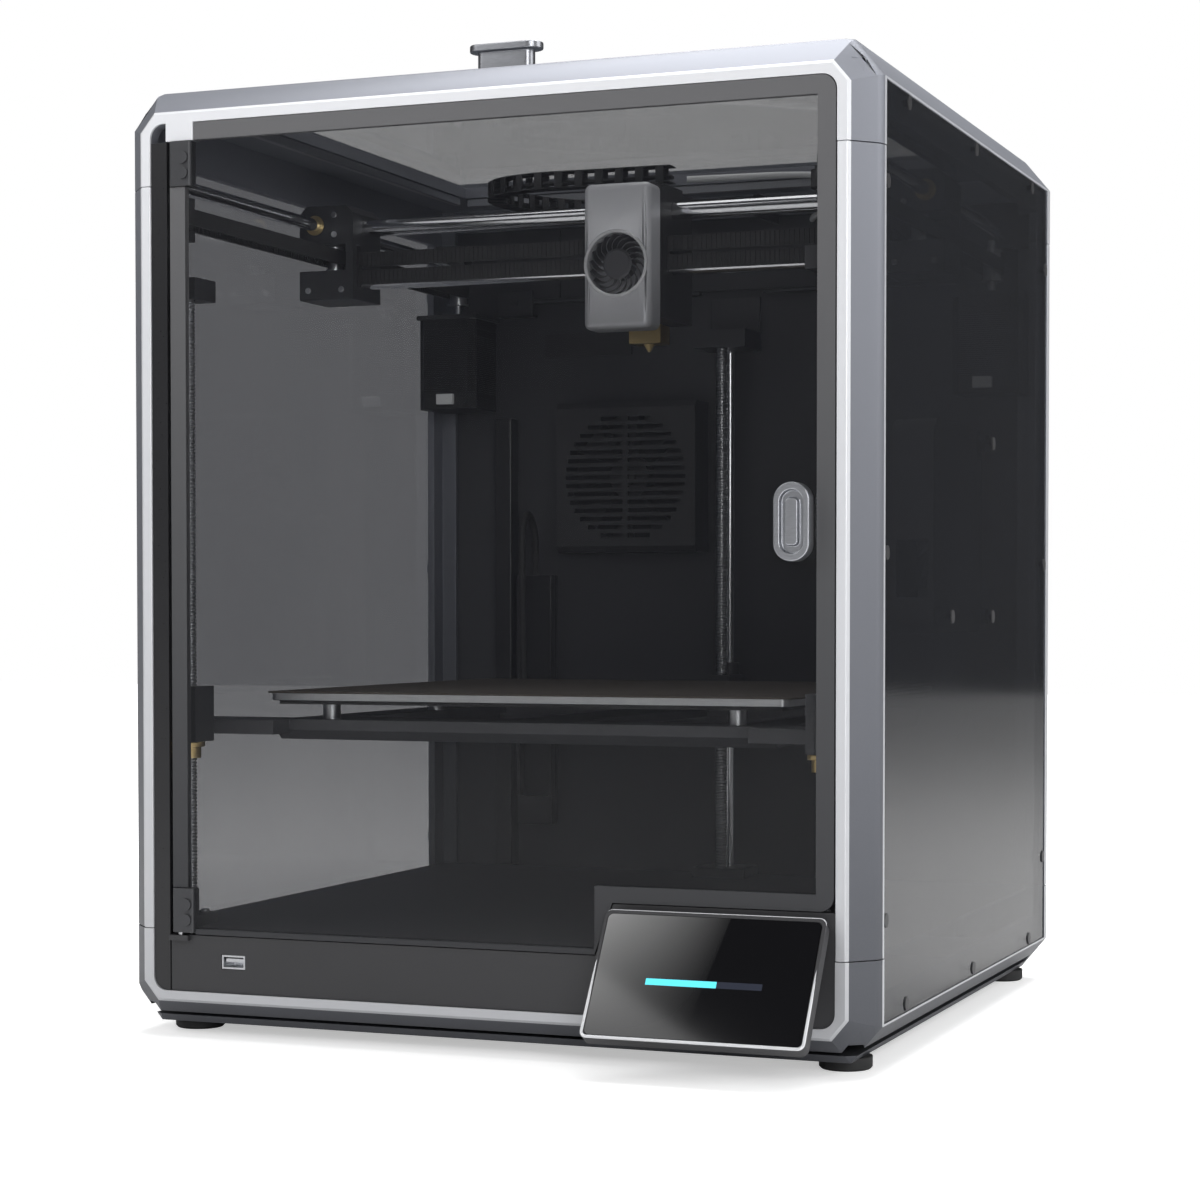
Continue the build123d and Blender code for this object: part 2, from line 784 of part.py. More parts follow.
def make_bed():
    """The lifting bed: frame, nut blocks, standoffs, heater, plate and build sheet."""
    arm_front = front_rod[1] + 6.6
    rear_block_front = rear_lead[1] - 7.0
    frame = block(-bed_half + 6, bed_half - 6, bed_front - 4, bed_back - 6, 170.0, frame_high)
    flange = [
        (bed_front - 4, 170.0),
        (bed_front + 2, frame_low),
        (bed_front + 8, frame_low),
        (bed_front + 8, 170.0),
    ]
    frame += profile_x(flange, -bed_half + 6, bed_half - 6)
    for side in (-1, 1):
        frame += block(side * 140, side * 206, arm_front, bed_front + 20, 168.0, frame_high)
        frame += block(side * 140, side * 146, bed_front + 8, bed_back - 6, frame_low, 170.0)
    frame += block(rear_lead[0] - 20, rear_lead[0] + 20, bed_back - 8, rear_block_front, 168.0, frame_high)
    frame += block(-140, 140, bed_back - 14, bed_back - 6, frame_low, 170.0)
    frame += block(-136, -124, bed_back - 7, bed_back + 1.8, 166.0, frame_high)
    for side in (-1, 1):
        frame -= block(side * 20, side * 120, bed_front + 40, bed_back - 50, 160, 180)
    save("bed_frame", frame)
    blocks = both_sides(nut_block(*front_lead, *front_rod))
    blocks.append(nut_block(*rear_lead, *rear_rod))
    save("nut_blocks", *blocks)
    heater_low = bed_low - heater_thickness
    posts = []
    for side in (-1, 1):
        for depth in (bed_front + 14, (bed_front + bed_back) / 2, bed_back - 20):
            posts.append(upright(standoff_radius, side * standoff_x, depth, frame_high, heater_low))
    save("bed_standoffs", *posts)
    heater = block(-bed_half + 4, bed_half - 4, bed_front + 4, bed_back - 4, heater_low, bed_low)
    save("bed_heater", heater)
    top = bed_low + bed_thickness
    plate = block(-bed_half, bed_half, bed_front, bed_back, bed_low, top)
    plate = fillet(plate.edges().filter_by(Axis.Z), 4)
    save("bed_plate", plate)
    sheet = block(-sheet_half, sheet_half, bed_front + 1, bed_back + 1.5, top, top + sheet_thickness)
    sheet = fillet(sheet.edges().filter_by(Axis.Z), 5)
    save("build_sheet", sheet)


# ---------------------------------------------------------------- gantry


def make_y_rods():
    """Two Y rods, their mounts, the motor plates, the front belt posts and the carrier's stop."""
    mount_front = frame_depth + fit
    wall_side = inner_half - fit
    rods = [
        along_y(rod_radius, side * y_rod_x, y_rod_z, mount_front + 2, rear_wall_inner - 2)
        for side in (-1, 1)
    ]
    save("y_rods", *rods)
    mounts = []
    for side in (-1, 1):
        for y0 in (mount_front, rear_wall_inner - fit - mount_length):
            y1 = y0 + mount_length
            mount = block(side * wall_side, side * (y_rod_x - 8), y0, y1, mount_low, mount_high)
            mount -= along_y(rod_radius + running, side * y_rod_x, y_rod_z, y0 - 1, y1 + 1)
            mounts.append(mount)
        px = side * xy_motor_x
        motor_top = xy_motor_low + motor_height
        plate_front = xy_motor_depth - motor_size / 2
        plate_top = motor_top + motor_plate_thickness
        plate_back = rear_wall_inner - fit
        plate = block(side * wall_side, side * motor_plate_inner, plate_front, plate_back, motor_top, plate_top)
        plate -= upright(12, px, xy_motor_depth, motor_top - 1, motor_top + 5)
        mounts.append(plate)
        y0 = post_depth - post_block_length / 2
        y1 = post_depth + post_block_length / 2
        idler = block(side * wall_side, side * post_block_inner, y0, y1, post_block_low, post_low)
        idler += block(side * wall_side, side * post_block_inner, y0, y1, post_high, post_block_high)
        idler += block(side * wall_side, side * (inner_half - 6), y0, y1, post_block_low, post_block_high)
        idler += upright(post_radius, px, post_depth, post_low, post_high)
        mounts.append(idler)
    stop_left = chain_route[-1][0] + fit
    stop_front = chain_route[-1][1] - chain_radius
    stop = block(stop_left, stop_left + 3.7, stop_front, rear_wall_inner - fit, 494.0, 508.0)
    mounts.append(stop)
    save("y_rod_mounts", *mounts)


def y_belt(side):
    """A closed belt loop between a motor pulley and its front idler."""
    x = side * xy_motor_x
    radius = xy_pulley_radius + 0.4
    ends = ((x, post_depth), (x, xy_motor_depth))
    outer = make_hull([Pos(*p) * Circle(radius + belt_thickness).edge() for p in ends])
    inner = make_hull([Pos(*p) * Circle(radius).edge() for p in ends])
    return Pos(0, 0, y_belt_low) * extrude(outer - inner, amount=belt_width)


def make_gantry():
    """The bridge that rides the Y rods: carriages, X rods, idlers and the X belt runs."""
    carriages = []
    for side in (-1, 1):
        inner = side * carriage_inner
        outer = side * carriage_outer
        body = block(inner, outer, carriage_front, carriage_back, carriage_low, carriage_high)
        body = chamfer(body.edges().filter_by(Axis.Y).group_by(Axis.Z)[-1], 5)
        inner = side * (carriage_inner + 5)
        outer = side * (carriage_outer + 5)
        body -= block(inner, outer, carriage_front - 5, carriage_back + 5, slot_low, slot_high)
        body -= along_y(rod_radius + running, side * y_rod_x, y_rod_z, 150, 260)
        mouth = side * (carriage_inner - 2)
        body -= along_x(x_rod_high_radius + running, x_rod_depth, x_rod_high, mouth - 16, mouth + 16)
        body -= along_x(x_rod_low_radius + running, x_rod_depth, x_rod_low, mouth - 24, mouth + 24)
        inner = side * (carriage_inner - 1)
        outer = side * (carriage_inner + 9)
        belt_pocket_low = x_belt_zs[0] - 1
        body -= block(inner, outer, x_belt_depth - 3, x_belt_depth + 3, belt_pocket_low, slot_high)
        axle_hole = axle_radius + running
        body -= upright(axle_hole, side * xy_motor_x, idler_depth, carriage_low + 6, slot_high + 6)
        carriages.append(body)
    save("gantry_carriages", *carriages)
    high_end = carriage_inner + 12
    low_end = carriage_inner + 20
    high = along_x(x_rod_high_radius, x_rod_depth, x_rod_high, -high_end, high_end)
    low = along_x(x_rod_low_radius, x_rod_depth, x_rod_low, -low_end, low_end)
    save("x_rods", high, low)
    reach = carriage_inner + 8
    belt_front = x_belt_depth - belt_thickness / 2
    belt_back = x_belt_depth + belt_thickness / 2
    belts = [block(-reach, reach, belt_front, belt_back, z, z + belt_width) for z in x_belt_zs]
    save("x_belts", *belts)
    for side, name in ((-1, "idler_left"), (1, "idler_right")):
        x = side * xy_motor_x
        wheel = upright(idler_radius, x, idler_depth, slot_low + 0.6, slot_high - 0.6)
        wheel += upright(idler_radius + 1, x, idler_depth, slot_low + 0.6, slot_low + 1.8)
        wheel += upright(idler_radius + 1, x, idler_depth, slot_high - 1.8, slot_high - 0.6)
        wheel += upright(axle_radius, x, idler_depth, carriage_low + 7, slot_high + 5)
        save(name, wheel)
    save("y_belts", *[y_belt(side) for side in (-1, 1)])


def make_head():
    """The tool head: body on the X rods, front cover, cooling fan and hotend."""
    x0 = head_x - head_width / 2
    x1 = head_x + head_width / 2
    body = block(x0, x1, head_split + fit, head_back, head_low + 8, head_high)
    body -= along_x(x_rod_high_radius + running, x_rod_depth, x_rod_high, x0 - 1, x1 + 1)
    body -= along_x(x_rod_low_radius + running, x_rod_depth, x_rod_low, x0 - 1, x1 + 1)
    body -= block(x0 - 1, x1 + 1, x_belt_depth - 2.5, x_belt_depth + 2.5, 438.3, 459.7)
    body -= upright(8, head_x, nozzle_depth, head_low, head_low + 18)
    body += block(x0 + 4, x1 - 4, x_rod_depth - 8, head_back - 6, head_high, head_high + 4)
    save("head_body", body)
    cover = block(x0, x1, head_front, head_split, head_low, head_high)
    cover = fillet(cover.edges().filter_by(Axis.Z).group_by(Axis.Y)[0], 5)
    cover = fillet(cover.edges().filter_by(Axis.X).group_by(Axis.Y)[0], 4)
    cover -= along_y(head_fan_radius, head_x, head_fan_z, head_front - 1, head_front + 13)
    save("head_cover", cover)
    hub = along_y(9.0, head_x, head_fan_z, head_front + 1.5, head_front + 10)
    middle = Pos(head_x, head_front + 6, head_fan_z)
    blade = Pos(12.6, 0, 0) * Rot(35, 0, 0) * Box(9.6, 1.2, 8)
    for step in range(head_fan_blades):
        hub += middle * Rot(0, step * 360 / head_fan_blades, 0) * blade
    hub += along_y(1.5, head_x, head_fan_z, head_front + 10, head_front + 12.7)
    save("head_fan", hub)
    hotend = upright(7.8, head_x, nozzle_depth, head_low + 4, head_low + 17.7)
    block_bottom = head_low - 4
    hotend += block(head_x - 10, head_x + 10, nozzle_depth - 8, nozzle_depth + 8, block_bottom, head_low + 7)
    cone_middle = (nozzle_tip + block_bottom) / 2
    cone = Pos(head_x, nozzle_depth, cone_middle) * Cone(0.8, 3.4, block_bottom - nozzle_tip)
    save("hotend", hotend + cone)


# ---------------------------------------------------------------- fans and electronics


def rotor(radius, hub, blades, width):
    """A fan wheel about local Z: hub and tilted blades."""
    wheel = Cylinder(hub, width)
    span = radius - hub + 0.6
    blade = Pos(hub + span / 2 - 0.6, 0, 0) * Rot(38, 0, 0) * Box(span, 1.6, width)
    for step in range(blades):
        wheel += Rot(0, 0, step * 360 / blades) * blade
    return wheel


def make_chamber_fan():
    """The filter fan box on the rear wall, with its slotted grille, and its rotor."""
    back = rear_panel_inner - 0.3
    x = (fan_box_left + fan_box_right) / 2
    z = (fan_box_low + fan_box_high) / 2
    outline = [
        (back, fan_box_low),
        (fan_box_front + 3, fan_box_low),
        (fan_box_front, fan_box_low + 4),
        (fan_box_front, fan_box_high - 4),
        (fan_box_front + 3, fan_box_high),
        (back, fan_box_high),
    ]
    box = profile_x(outline, fan_box_left, fan_box_right)
    box -= along_y(fan_radius + 2, x, z, fan_box_front + 3, back + 1)
    for row in range(grille_rows):
        slot_z = z + (row - (grille_rows - 1) / 2) * grille_pitch
        reach = math.sqrt(max(fan_radius**2 - (slot_z - z) ** 2, 60))
        for side in (-1, 1):
            inner = x + side * 1.8
            outer = x + side * reach
            front = fan_box_front - 5
            box -= block(inner, outer, front, front + 10, slot_z - 1.5, slot_z + 1.5)
    box += along_y(6, x, z, fan_box_front + 2, fan_box_front + 5)
    box += along_y(1.5, x, z, fan_box_front + 4, back - 3)
    save("chamber_fan_box", box)
    wheel = Rot(90, 0, 0) * (rotor(fan_radius - 1, 14, 9, 14) - Cylinder(1.5 + running, 20))
    save("chamber_fan", Pos(x, back - 12, z) * wheel)


def make_blower():
    """The auxiliary blower on the right wall and its wheel."""
    outer = inner_half - fit
    y = (blower_front + blower_back) / 2 + 10
    z = (blower_low + blower_high) / 2
    housing = block(blower_inner, outer, blower_front, blower_back, blower_low, blower_high)
    housing = fillet(housing.edges().filter_by(Axis.X), 12)
    housing -= along_x(blower_fan_radius + 2, y, z, blower_inner + 2.5, outer - 2.5)
    housing -= along_x(24, y, z, blower_inner - 5, blower_inner + 5)
    housing -= block(blower_inner + 3, outer - 3, blower_front - 5, y - 20, z - 40, z - 8)
    housing += along_x(1.5, y, z, outer - 14, outer - 2)
    panel_inner = half_width - panel_gap - panel_thickness
    for depth, height in blower_screws:
        housing += along_x(5.0, depth, height, outer, panel_inner - fit)
        housing -= along_x(1.6, depth, height, outer - 2, panel_inner)
    save("aux_fan_housing", housing)
    wheel = Rot(0, 90, 0) * (rotor(blower_fan_radius, 12, 16, 14) - Cylinder(1.5 + running, 20))
    save("aux_fan", Pos(blower_inner + 11.5, y, z) * wheel)


def make_electronics():
    """The power supply and mainboard under the floor, the inlet and its switch."""
    base = foot_height + base_thickness
    supply = block(-190, -75, 200, 399, base + fit, base + 17)
    save("power_supply", supply)
    board = block(-60, 40, 60, 200, base + 6, base + 8)
    for sx in (-55, 35):
        for sy in (65, 195):
            board += upright(3, sx, sy, base + fit, base + 6)
    for chip in range(5):
        board += block(-50 + 17 * chip, -40 + 17 * chip, 150, 160, base + 8, base + 12)
    save("mainboard", board)
    outer = rear_panel_inner + rear_panel_thickness
    inlet = block(
        inlet_x - inlet_width / 2 + fit,
        inlet_x + inlet_width / 2 - fit,
        rear_panel_inner - 20,
        outer,
        inlet_z - inlet_height / 2 + fit,
        inlet_z + inlet_height / 2 - fit,
    )
    inlet += block(inlet_x - 16, inlet_x + 16, outer, outer + 1.8, inlet_z - 12, inlet_z + 12)
    inlet -= block(inlet_x - 12.2, inlet_x + 12.2, outer - 15, outer + 5, inlet_z - 8, inlet_z + 8)
    for x in (inlet_x - 6, inlet_x, inlet_x + 6):
        inlet += block(x - 1, x + 1, outer - 16, outer - 3, inlet_z - 2, inlet_z + 2)
    save("power_inlet", inlet)
    rocker = [
        (outer - 7, inlet_z - 5.0),
        (outer + 0.2, inlet_z - 5.0),
        (outer - 0.8, inlet_z),
        (outer + 1.6, inlet_z + 5.0),
        (outer - 7, inlet_z + 5.0),
    ]
    rocker_half = switch_width / 2 - 0.4
    switch = profile_x(rocker, switch_x - rocker_half, switch_x + rocker_half)
    pin_reach = rocker_half + rocker_pin_length
    switch += along_x(rocker_pin_radius, rocker_depth, inlet_z, switch_x - pin_reach, switch_x + pin_reach)
    save("power_switch", switch)


# ---------------------------------------------------------------- cables


def tube(points, radius):
    """A tube along straight runs joined by arcs that touch both runs."""
    corners = [Vector(*p) for p in points]
    radii = []
    for before, here, after in zip(corners, corners[1:], corners[2:]):
        turn = math.radians((here - before).get_angle(after - here))
        shorter = min((here - before).length, (after - here).length)
        radii.append(0.45 * shorter / math.tan(turn / 2))
    path = FilletPolyline(*points, radius=radii)
    section = Plane(origin=path @ 0, z_dir=path % 0) * Circle(radius)
    solid = sweep(section, path=path)
    return solid


chain_route = [
    (26, 232, 501), (-20, 231, 501), (-62, 228, 501), (-92, 240, 501), (-107, 268, 501), (-103, 304, 501),
    (-86, 334, 501), (-58, 356, 501), (-20, 369, 501), (34, 369, 501),
]
tube_route = [
    (34, 236, 498), (60, 244, 499), (92, 258, 501), (118, 280, 502), (130, 308, 502), (124, 342, 502),
    (106, 370, 501), (82, 390, 499), (62, 400, 497), (60, 411.7, 496),
]
cable_route = [
    (-136, 404, 262), (-136, 404, 284), (-136, 398, 300), (-135, 385, 305), (-134, 375, 292),
    (-133, 372.5, 264), (-132, 371, 234), (-131, 370, 204), (-130, 369.6, 174),
]


def make_cables():
    """The cable carrier above the gantry, the filament tube and the bed's cable."""
    carrier = tube(chain_route, chain_radius)
    save("cable_chain", carrier)
    save("filament_tube", tube(tube_route, filament_radius))
    save("bed_cable", tube(cable_route, bed_cable_radius))


make_casing()
make_side_panels()
make_feet()
make_floor()
make_rear_panel()
make_lid()
make_door()
make_hinge_rail()
make_fascia()
make_display()
make_lift()
make_drives()
make_z_belt()
make_bed()
make_y_rods()
make_gantry()
make_head()
make_chamber_fan()
make_blower()
make_electronics()
make_cables()
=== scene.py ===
"""Finishes and fine shapes of an enclosed desktop printer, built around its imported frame."""

import json
import math

import bmesh
import bpy
from mathutils import Matrix, Vector


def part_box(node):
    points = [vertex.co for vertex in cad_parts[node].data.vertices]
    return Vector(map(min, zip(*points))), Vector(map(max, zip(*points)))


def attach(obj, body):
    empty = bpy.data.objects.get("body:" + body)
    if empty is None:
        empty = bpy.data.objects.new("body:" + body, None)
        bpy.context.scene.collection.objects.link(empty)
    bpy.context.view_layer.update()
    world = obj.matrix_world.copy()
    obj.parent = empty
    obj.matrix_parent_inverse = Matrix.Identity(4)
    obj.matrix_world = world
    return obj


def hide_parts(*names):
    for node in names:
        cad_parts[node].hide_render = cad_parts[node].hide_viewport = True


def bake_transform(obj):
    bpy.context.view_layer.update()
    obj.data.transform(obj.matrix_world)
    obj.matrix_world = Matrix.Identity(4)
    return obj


bl_info = {
    "name": "Enclosed Printer",
    "version": (1, 0, 0),
    "blender": (4, 5, 0),
    "location": "3D View > Sidebar > Printer",
    "description": "Detailed pieces and finishes for an enclosed desktop printer",
    "category": "Object",
}

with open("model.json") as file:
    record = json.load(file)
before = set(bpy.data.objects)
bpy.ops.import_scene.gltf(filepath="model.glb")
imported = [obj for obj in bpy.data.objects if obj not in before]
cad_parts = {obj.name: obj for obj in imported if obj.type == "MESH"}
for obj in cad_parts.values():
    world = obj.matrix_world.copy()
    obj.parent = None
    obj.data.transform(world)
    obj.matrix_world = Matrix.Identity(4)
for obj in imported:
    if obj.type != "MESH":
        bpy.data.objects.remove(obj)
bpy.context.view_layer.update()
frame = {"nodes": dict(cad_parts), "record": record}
MM = 0.001
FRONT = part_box("top_frame")[0][1]
HALF_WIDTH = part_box("top_frame")[1][0]


# ------------------------------------------------------------------ sizes and colours


def length(name, description, default):
    """A length property in metres."""
    return bpy.props.FloatProperty(
        name=name, description=description, default=default, min=0.0, subtype="DISTANCE", unit="LENGTH"
    )


def colour(name, description, default):
    """A colour property."""
    return bpy.props.FloatVectorProperty(
        name=name, description=description, default=default, size=3, min=0.0, max=1.0, subtype="COLOR"
    )


class CasingLooks(bpy.types.PropertyGroup):
    """Colours and edge sizes of the casing."""

    paint: colour("Paint", "Satin paint of the casing", (0.2, 0.208, 0.235))
    # The band colour and its width make a painted highlight round the door frame's face.
    painted_highlight_band: colour("Band", "Bright band round the door frame", (0.8, 0.81, 0.84))
    painted_highlight_band_width: length("Band width", "Depth of the bright band behind the frame's face", 1.6 * MM)
    edge: length("Edge", "Rounding of the casing's edges", 0.7 * MM)
    print_width: length("Print border", "Width of the dark printed border on the door", 9.5 * MM)
    smoke: colour("Smoke", "Tint of the side panels", (0.011, 0.0125, 0.017))
    screen_glow: colour("Glow", "Colour of the progress bar", (0.1, 0.62, 0.72))


class DriveLooks(bpy.types.PropertyGroup):
    """Sizes of belts, threads and links."""

    tooth_pitch: length("Tooth pitch", "Distance between belt teeth", 3.0 * MM)
    tooth_height: length("Tooth height", "Height of a belt tooth", 0.75 * MM)
    thread_pitch: length("Thread pitch", "Distance between ridges on a lead screw", 2.0 * MM)
    link_pitch: length("Link pitch", "Distance between links of the cable carrier", 13.0 * MM)
    fan_blades: bpy.props.IntProperty(name="Blades", description="Cooling fan blades", default=19, min=3)


def casing_looks():
    """The casing's settings."""
    return bpy.context.scene.printer_casing


def drive_looks():
    """The drive's settings."""
    return bpy.context.scene.printer_drive


# ------------------------------------------------------------------ shader kit


class Wire:
    """A shader socket that can be used in arithmetic."""

    def __init__(self, kit, socket):
        self.kit = kit
        self.socket = socket

    def maths(self, operation, *values):
        return self.kit.node("ShaderNodeMath", {"operation": operation}, values)

    def __add__(self, other):
        return self.maths("ADD", self, other)

    def __radd__(self, other):
        return self.maths("ADD", other, self)

    def __sub__(self, other):
        return self.maths("SUBTRACT", self, other)

    def __rsub__(self, other):
        return self.maths("SUBTRACT", other, self)

    def __mul__(self, other):
        return self.maths("MULTIPLY", self, other)

    def __truediv__(self, other):
        return self.maths("DIVIDE", self, other)

    def __lt__(self, other):
        return self.maths("LESS_THAN", self, other)

    def __gt__(self, other):
        return self.maths("GREATER_THAN", self, other)

    def size(self):
        return self.maths("ABSOLUTE", self)

    def wave(self):
        return self.maths("SINE", self)

    def smaller(self, other):
        return self.maths("MINIMUM", self, other)

    def larger(self, other):
        return self.maths("MAXIMUM", self, other)

    def ramp(self, low, high):
        """0 at low, 1 at high and straight between them."""
        settings = {"clamp": True}
        return self.kit.node("ShaderNodeMapRange", settings, (self, low, high, 0.0, 1.0))


class Finish:
    """One material and the nodes that make its surface."""

    def __init__(self, name):
        self.material = bpy.data.materials.new(name)
        self.material.use_nodes = True
        self.tree = self.material.node_tree
        self.surface = self.tree.nodes["Principled BSDF"]
        self.places = None

    def plug(self, socket, value):
        if isinstance(value, Wire):
            self.tree.links.new(value.socket, socket)
        elif hasattr(value, "__len__") and len(value) == 3 and socket.type == "RGBA":
            socket.default_value = (*value, 1.0)
        else:
            socket.default_value = value

    def node(self, kind, settings, values, output=0):
        """Adds a node: its settings first, then the values or links of its sockets."""
        made = self.tree.nodes.new(kind)
        for key, value in settings.items():
            setattr(made, key, value)
        if isinstance(values, dict):
            for key, value in values.items():
                self.plug(made.inputs[key], value)
        else:
            for socket, value in zip(made.inputs, values):
                self.plug(socket, value)
        return Wire(self, made.outputs[output])

    def place(self):
        """X, Y and Z of the surface point, in metres."""
        if self.places is None:
            points = self.node("ShaderNodeTexCoord", {}, (), 3)
            parts = self.tree.nodes.new("ShaderNodeSeparateXYZ")
            self.tree.links.new(points.socket, parts.inputs[0])
            self.points = points
            self.places = [Wire(self, socket) for socket in parts.outputs]
        return self.places

    def noise(self, scale, detail=2.0, stretch=(1, 1, 1)):
        """Fine grain: a noise of that many patches a metre."""
        self.place()
        mapped = self.node("ShaderNodeMapping", {}, {"Vector": self.points, "Scale": stretch})
        return self.node("ShaderNodeTexNoise", {}, {"Vector": mapped, "Scale": scale, "Detail": detail})

    def blend(self, factor, first, second):
        """A colour between two."""
        made = self.tree.nodes.new("ShaderNodeMix")
        made.data_type = "RGBA"
        self.plug(made.inputs[0], factor)
        self.plug(made.inputs[6], first)
        self.plug(made.inputs[7], second)
        return Wire(self, made.outputs[2])

    def relief(self, height, distance, strength=1.0):
        """Raises or lowers the surface."""
        values = {"Height": height, "Distance": distance, "Strength": strength}
        self.set("Normal", self.node("ShaderNodeBump", {}, values))

    def set(self, socket, value):
        self.plug(self.surface.inputs[socket], value)

    def dress(self, **values):
        for key, value in values.items():
            self.set(key.replace("_", " ").title().replace("Ior", "IOR"), value)
        return self


def scaled(tint, factor):
    """A darker or lighter tint."""
    return tuple(min(1.0, part * factor) for part in tint)


# ------------------------------------------------------------------ finishes


def casing_paint():
    """Satin metallic paint, painted darker towards the bottom and lighter towards the top, with a painted
    highlight band round the door frame and painted highlights on the side rims.
    """
    looks = casing_looks()
    finish = Finish("Casing paint")
    x, y, z = finish.place()
    grain = finish.noise(2600.0, 3.0)
    cloud = finish.noise(9.0, 2.0)
    # Painted shade and light: the paint runs from dark at the bottom to light at the top.
    rise = z.ramp(0.0, 0.53)
    tone = rise * 0.8 + cloud * 0.06 + grain * 0.14
    paint = finish.blend(tone, scaled(looks.paint, 0.35), scaled(looks.paint, 1.5))
    # Painted highlight: a bright band on the door frame's face, brighter towards the top.
    painted_highlight_band = y < FRONT + looks.painted_highlight_band_width
    # Painted highlights: thin bright rims along the casing's outer sides.
    rim = x.size() > HALF_WIDTH - 0.25 * MM
    bright = (painted_highlight_band * (rise * 0.45 + 0.55)).larger(rim * 0.6)
    finish.dress(base_color=finish.blend(bright, paint, tuple(looks.painted_highlight_band)))
    finish.dress(metallic=0.55 - bright * 0.35, roughness=0.44 + grain * 0.08 - bright * 0.12)
    finish.relief(grain, 0.03 * MM, 0.35)
    return finish.material


def plain_finish(name, tint, rough, metallic=0.0, grain=900.0, depth=0.02, spread=0.25):
    """A moulded, painted or machined surface with its own grain."""
    finish = Finish(name)
    fine = finish.noise(grain, 3.0)
    patch = finish.noise(14.0, 2.0)
    mixed = fine * 0.6 + patch * 0.4
    finish.dress(base_color=finish.blend(mixed, scaled(tint, 1 - spread), scaled(tint, 1 + spread)))
    finish.dress(metallic=metallic, roughness=fine * 0.12 + (rough - 0.06))
    finish.relief(fine, depth * MM, 0.5)
    return finish.material


def brushed_finish(name, tint, rough, stretch):
    """Metal with fine lines that run along one direction."""
    finish = Finish(name)
    lines = finish.noise(1800.0, 3.0, stretch)
    finish.dress(base_color=finish.blend(lines, scaled(tint, 0.82), scaled(tint, 1.12)))
    finish.dress(metallic=1.0, roughness=lines * 0.14 + rough)
    finish.relief(lines, 0.01 * MM, 0.3)
    return finish.material


def chrome_finish():
    """Ground and polished guide rods."""
    finish = Finish("Ground chrome")
    lines = finish.noise(700.0, 2.0)
    finish.dress(base_color=(0.78, 0.79, 0.82), metallic=1.0, roughness=lines * 0.08 + 0.09)
    return finish.material


def door_finish():
    """Tinted door glass with a dark printed border, which painted light makes lighter towards the top."""
    looks = casing_looks()
    low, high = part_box("door_glass")
    finish = Finish("Door glass")
    x, y, z = finish.place()
    inside = (x - low[0]).smaller(high[0] - x).smaller(high[2] - z)
    rise = z - low[2]
    foot_height = 3 * MM
    corner_height = 36 * MM
    corner_start = 67 * MM
    foot = rise < foot_height
    corner = (rise < corner_height) * (x > corner_start)
    printed = (inside < looks.print_width).larger(foot).larger(corner)
    dust = finish.noise(60.0, 3.0)
    # Painted light: the printed border turns lighter towards the top.
    painted_light_on_print = printed * z.ramp(0.05, 0.5)
    finish.dress(base_color=finish.blend(painted_light_on_print, (0.02, 0.021, 0.025), (0.12, 0.12, 0.125)))
    finish.dress(alpha=printed * 0.8 + 0.18 + dust * 0.02, roughness=printed * 0.3 + 0.05)
    return finish.material


def smoked_finish():
    """Nearly opaque smoked side panels, the left one with a faint blue painted glow."""
    finish = Finish("Smoked panel")
    haze = finish.noise(5.0, 2.0)
    tint = casing_looks().smoke
    x, y, z = finish.place()
    finish.dress(base_color=finish.blend(haze, scaled(tint, 0.8), scaled(tint, 1.3)))
    # Painted light: the left panel glows a faint blue, though it is no lamp.
    finish.dress(emission_color=finish.blend(x < 0.0, (0.0, 0.0, 0.0), (0.003, 0.005, 0.013)))
    finish.dress(emission_strength=1.0, alpha=haze * 0.04 + 0.62, roughness=haze * 0.04 + 0.07)
    return finish.material


def clear_finish():
    """Lid glass."""
    finish = Finish("Lid glass")
    haze = finish.noise(12.0, 2.0)
    finish.dress(base_color=(0.12, 0.13, 0.15), alpha=haze * 0.04 + 0.45, roughness=0.05)
    return finish.material


def screen_finish():
    """Display glass: a dark panel with a painted diagonal reflection and a plain progress bar."""
    low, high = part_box("display_glass")
    glow = casing_looks().screen_glow
    finish = Finish("Display")
    x, y, z = finish.place()
    across = (x - low[0]) / (high[0] - low[0])
    up = (z - low[2]) / (high[2] - low[2])
    row = (up - 0.46).size() < 0.026
    bar = row * (across > 0.24) * (across < 0.78)
    done = bar * (across < 0.57)
    # Painted reflection: a lighter diagonal streak over the upper left of the dark pane.
    lean = across + (1 - up) * 0.12
    painted_reflection = (lean < 0.58) * up * (0.6 - lean).larger(0.0)
    pane = finish.blend(painted_reflection * 1.6, (0.004, 0.004, 0.005), (0.26, 0.26, 0.26))
    tint = finish.blend(bar, pane, (0.03, 0.034, 0.05))
    finish.dress(base_color=finish.blend(done, tint, tuple(glow)), roughness=0.06)
    lit = finish.blend(done, (0.0, 0.0, 0.0), tuple(glow))
    finish.dress(emission_color=lit, emission_strength=0.55)
    return finish.material


def motor_finish():
    """Black motor with the fine edges of its stacked plates between the end caps."""
    finish = Finish("Motor plates")
    x, y, z = finish.place()
    foot = 375 * MM
    plates_start = foot + 11 * MM
    plates_end = foot + 50 * MM
    plate_pitch = 1.3 * MM
    middle = (z > plates_start) * (z < plates_end)
    plates = (z * (math.tau / plate_pitch)).wave() * middle
    fine = finish.noise(900.0, 2.0)
    tone = plates * 0.5 + 0.5
    finish.dress(base_color=finish.blend(tone, (0.012, 0.012, 0.013), (0.035, 0.036, 0.04)))
    finish.dress(roughness=fine * 0.1 + 0.42, metallic=0.3)
    finish.relief(plates, 0.22 * MM, 0.8)
    return finish.material


